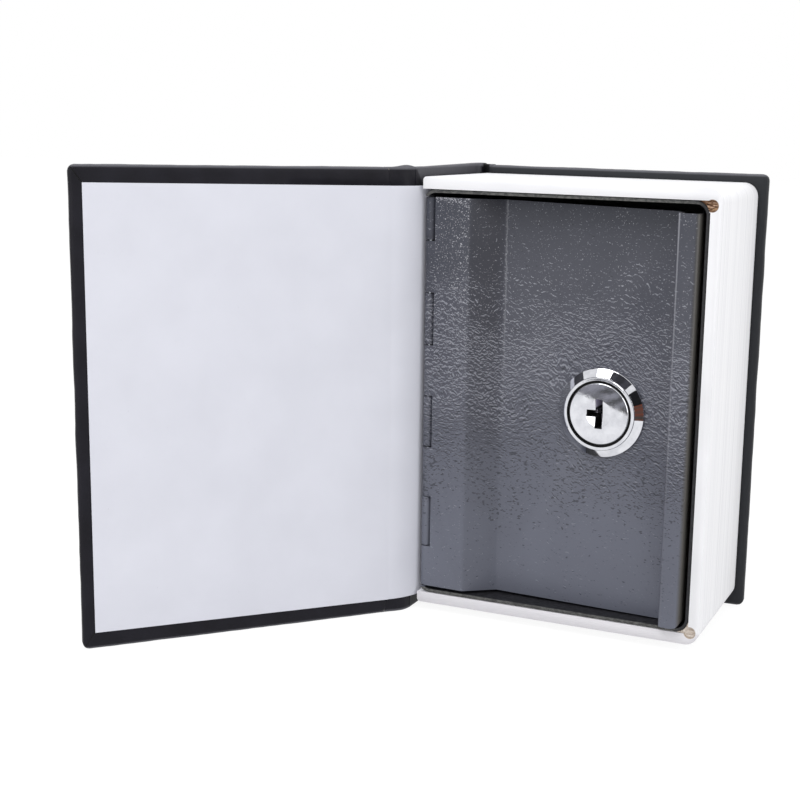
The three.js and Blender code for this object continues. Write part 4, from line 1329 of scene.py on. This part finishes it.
# %% Spine
SPINE_STEPS, SPINE_THICK, CREASE_THICK = 60, 1.2, 2.0
spine_line = smooth_line([
    Vector((-2.7, 0.1)), Vector((-2.72, 10)), Vector((-2.7, 25)), Vector((-2.68, 38.5)),
    Vector((-2.35, 40.9)), Vector((-1.3, 42.0)), Vector((-0.5, 41.75)), Vector((0.1, 41.5)),
    Vector((0.9, 41.6)), Vector((2.2, 41.6)),
], SPINE_STEPS)
spine_thick, spine_head = [], []
for p in spine_line:
    crease = min(max((p.x + 1.5) / 2.5, 0), 1)
    spine_thick.append(SPINE_THICK + (CREASE_THICK - SPINE_THICK) * crease)
    rise = 0.4 * min(max((p.y - 8) / 34, 0), 1)
    fall = 0.3 * min(max((p.x + 0.9) / 0.7, 0), 1)
    spine_head.append(HEAD + 0.1 + rise - fall)
spine_mesh = band(
    "spine_look", spine_line, spine_thick, [0.0] * (SPINE_STEPS + 1), spine_head, 0.4,
    seed=2.0, ripple=0.08,
)
finish_mesh("spine_look", spine_mesh, "cloth", "safe", ["case_cloth"], smooth=60)
print("spine", len(spine_mesh.vertices), "points")

# %% [markdown]
# The front joint is the cloth from the cover's end round to the spine. It is thick where it is
# glued to the board, thin where it bends, and its head rises a little in the bend. It crosses the
# hinge.

# %% Front joint
JOINT_STEPS, GLUED_THICK, BENT_THICK, LINING = 40, 1.9, 0.75, 0.4
BULGE, BULGE_STEP, BULGE_REACH = 0.55, 24, 11
joint_line = smooth_line([
    shut_to_open(2.0, -3.4), shut_to_open(0.6, -3.2), shut_to_open(-1.0, -2.85),
    Vector((-3.75, -3.0)), Vector((-3.0, -1.7)), Vector((-2.72, -0.2)), Vector((-2.7, 0.9)),
], JOINT_STEPS)
joint_thick, joint_head = [], []
for i in range(JOINT_STEPS + 1):
    glued, lined = 1 - min(i / 12, 1), max(0, (i - 30) / 10)
    joint_thick.append(BENT_THICK + (GLUED_THICK - BENT_THICK) * glued + LINING * lined)
    joint_head.append(HEAD + BULGE * math.exp(-((i - BULGE_STEP) / BULGE_REACH) ** 2))
joint_mesh = band(
    "front_joint_look", joint_line, joint_thick, [0.0] * (JOINT_STEPS + 1), joint_head, 0.3,
    seed=6.0, ripple=0.08,
)
joint_piece = finish_mesh(
    "front_joint_look", joint_mesh, "cloth", None, ["front_joint_cloth"], smooth=60,
)
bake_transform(joint_piece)
print("front joint", len(joint_mesh.vertices), "points")

# %% [markdown]
# The endpaper is one sheet from the front cover's edge across the joint to the side of the steel
# box. The part on the board is stiff and the free part bends, so they are two pieces that meet.

# %% Pasted endpaper
SKEW = 0.45
FORE_PAPER = FORE_EDGE - MARGIN_FORE
PAPER_SQUARES = (60, 80)
PAPER_WAVE, PAPER_RIM = 15, 0.03


def paper_sheet(name, corners, low, high, into, body, nodes):
    """A pasted sheet with slightly soft edges; corners are (x, z)."""
    columns, rows = PAPER_SQUARES
    points, faces = [], []
    (x0, a0), (x1, a1), (_, b1), (_, b0) = corners
    for side, y in ((0, high), (1, low)):
        for i in range(columns + 1):
            for j in range(rows + 1):
                u, v = i / columns, j / rows
                x = x0 + (x1 - x0) * u
                z = (a0 + (a1 - a0) * u) * (1 - v) + (b0 + (b1 - b0) * u) * v
                wave = noise.noise(Vector((x / PAPER_WAVE, z / PAPER_WAVE, 4.0))) * 0.05
                edge = PAPER_RIM if i in (0, columns) or j in (0, rows) else 0
                points.append(into @ Vector((x, y + (wave - edge if side == 0 else 0), z)))
    size = (columns + 1) * (rows + 1)
    cell = rows + 1
    for i in range(columns):
        for j in range(rows):
            a = i * cell + j
            ring = [a, a + cell, a + cell + 1, a + 1]
            faces.append(ring[::-1])
            faces.append([size + n for n in ring])
    border = [i * cell for i in range(columns + 1)]
    border += [columns * cell + j for j in range(1, rows + 1)]
    border += [i * cell + rows for i in range(columns - 1, -1, -1)]
    border += [j for j in range(rows - 1, 0, -1)]
    for a, b in zip(border, border[1:] + border[:1]):
        faces.append([a, b, b + size, a + size])
    return finish_mesh(name, closed_mesh(name, points, faces), "endpaper", body, nodes, smooth=50)


front_paper = paper_sheet(
    "front_endpaper_look",
    [(BOARD_START - 0.3, MARGIN - SKEW), (FORE_PAPER, MARGIN),
     (FORE_PAPER, HEAD - MARGIN), (BOARD_START - 0.3, HEAD - MARGIN - SKEW)],
    -2.12, -1.82, IN_COVER, "front_cover", ["front_endpaper"],
)
print("pasted endpaper", len(front_paper.data.vertices), "points")

# %% Free endpaper
PAPER, FREE_STEPS = 0.2, 48
free_line = smooth_line([
    shut_to_open(0.9, -1.95), shut_to_open(-1.7, -1.95), Vector((-2.5, -2.4)),
    Vector((-1.2, 0.2)), Vector((-0.4, 3.0)), Vector((-0.2, 5.1)), Vector((-0.2, 9.0)),
], FREE_STEPS)
places = FREE_STEPS + 1
free_mesh = band(
    "free_endpaper_look", free_line, [PAPER] * places, [MARGIN - SKEW] * places,
    [HEAD - MARGIN - SKEW] * places, 0.08,
)
free_piece = finish_mesh(
    "free_endpaper_look", free_mesh, "endpaper", None, ["endpaper_joint"], smooth=60,
)
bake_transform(free_piece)
print("free endpaper", len(free_mesh.vertices), "points")

# %% [markdown]
# A plain studio. The floor is pale and matt, so it takes the object's shadow, and it glows by
# itself for the camera and for reflections, so that it meets the white surround without a
# horizon. The world is white where the camera, chrome or glass looks at it, and gentler as a
# light, so that pale paper keeps its tone.

# %% Floor
FLOOR = 3


def seen_directly(tree):
    """A socket that is 1 where the camera, a mirror or glass looks, and 0 for other light."""
    rays = add_node(tree, "LightPath").outputs
    seen = add_node(
        tree, "Math", {"operation": "MAXIMUM"},
        {0: rays["Is Camera Ray"], 1: rays["Is Glossy Ray"]},
    )
    return add_node(
        tree, "Math", {"operation": "MAXIMUM"},
        {0: seen.outputs[0], 1: rays["Is Transmission Ray"]},
    ).outputs[0]


floor_mesh = bpy.data.meshes.new("studio_floor")
floor_mesh.from_pydata(
    [(-FLOOR, -FLOOR, 0), (FLOOR, -FLOOR, 0), (FLOOR, FLOOR, 0), (-FLOOR, FLOOR, 0)], [],
    [[0, 1, 2, 3]],
)
put_in_scene("studio_floor", floor_mesh)
floor_finish = bpy.data.materials.new("studio_floor_white")
floor_finish.use_nodes = True
tree = floor_finish.node_tree
tree.nodes.clear()
share = add_node(tree, "Math", {"operation": "MULTIPLY", 1: 0.75}, {0: seen_directly(tree)})
matt = add_node(tree, "BsdfDiffuse", {"Color": linear("CECECE")})
glow = add_node(tree, "Emission", {"Strength": 1.2})
floor_mix = add_node(
    tree, "MixShader", links={0: share.outputs[0], 1: matt.outputs[0], 2: glow.outputs[0]},
)
add_node(tree, "OutputMaterial", links={"Surface": floor_mix.outputs[0]})
floor_mesh.materials.append(floor_finish)
print("floor", 2 * FLOOR, "m wide")

# %% White surround
world = bpy.data.worlds.new("studio_world")
bpy.context.scene.world = world
world.use_nodes = True
tree = world.node_tree
tree.nodes.clear()
level = add_node(tree, "MapRange", {"To Min": 0.75, "To Max": 1.0}, {"Value": seen_directly(tree)})
sky = add_node(tree, "Background", {"Color": (1, 1, 1, 1)}, {"Strength": level.outputs[0]})
add_node(tree, "OutputWorld", links={"Surface": sky.outputs[0]})
print("surround", world.name)

# %% [markdown]
# Three soft boxes: one above, a little to the left and in front, one at the fore edge, and a weak
# one low in front that lifts the door's lower half. Photographers also hold dark cards beside
# chrome, because a mirror in an all-white room has no shape. The bezel is a cone, so each hour of
# its face looks another way. Two cards at the right, with a slit between them, darken half past
# twelve to half past two, a brown one under them gives a warm strip, one at the left darkens
# eleven o'clock, and crumpled cloth on the floor in front darkens the plug's upper part. Only
# reflections see them.

# %% Lights


def soft_light(name, stands, aim, size, power):
    """A square soft box."""
    data = bpy.data.lights.new(name, "AREA")
    data.size = size
    data.energy = power
    lamp = put_in_scene(name, data)
    lamp.location = stands
    lamp.rotation_euler = (Vector(aim) - Vector(stands)).to_track_quat("-Z", "Y").to_euler()


soft_light("top_light", (-0.1, -0.32, 0.8), (0, 0, 0.06), 0.45, 3.1)
soft_light("fore_edge_light", (0.7, -0.1, 0.3), (0, 0, 0.06), 0.5, 1.8)
soft_light("low_light", (-0.05, -0.45, 0.12), (0.03, 0, 0.02), 0.25, 0.4)
print("three lights")

# %% Cards for the chrome


def dark_card(name, folds, dark, light, corners):
    """A card or cloth that only reflections see, with folds of the given sizes."""
    mesh = bpy.data.meshes.new(name)
    mesh.from_pydata(corners, [], [[0, 1, 2, 3]])
    card = put_in_scene(name, mesh)
    card.visible_camera = False
    card.visible_diffuse = False
    card.visible_shadow = False
    card.visible_transmission = False
    felt, tree, shader = new_finish(name + "_felt")
    spot = add_node(tree, "TexCoord").outputs["Object"]
    creases = noise_of_size(tree, spot, folds, {"Detail": 2.0})
    tones = add_node(
        tree, "ValToRGB", {"stops": [(0.42, dark), (0.62, light)]},
        {"Fac": creases.outputs["Fac"]},
    )
    tree.links.new(tones.outputs["Color"], shader.inputs["Base Color"])
    shader.inputs["Roughness"].default_value = 1.0
    mesh.materials.append(felt)


dark_card("upper_card", 0.1, "303036", "4A4A52", [
    (0.052, -0.288, 0.611), (-0.068, -0.288, 0.403), (0.156, -0.288, 0.248), (0.322, -0.288, 0.42),
])
dark_card("lower_card", 0.1, "101012", "1C1C20", [
    (0.182, -0.091, 0.176), (0.132, -0.157, 0.14), (0.163, -0.156, 0.077), (0.221, -0.091, 0.096),
])
dark_card("brown_card", (1.0, 1.0, 0.018), "55504A", "8E4A36", [
    (0.182, -0.06, 0.089), (0.13, -0.119, 0.071), (0.132, -0.111, 0.012), (0.184, -0.05, 0.014),
])
dark_card("left_card", 0.1, "26262B", "3C3C44", [
    (-0.0095, 0.0055, 0.064), (-0.0313, -0.016, 0.064),
    (-0.0313, -0.016, 0.112), (-0.0095, 0.0055, 0.112),
])
dark_card("floor_cloth", (0.006, 0.022, 0.01), "050507", "74747C", [
    (-0.25, -0.6, 0.004), (0.12, -0.6, 0.004), (-0.01, -0.2, 0.004), (-0.088, -0.275, 0.004),
])
bpy.context.scene.view_settings.view_transform = "Standard"
print("five cards")
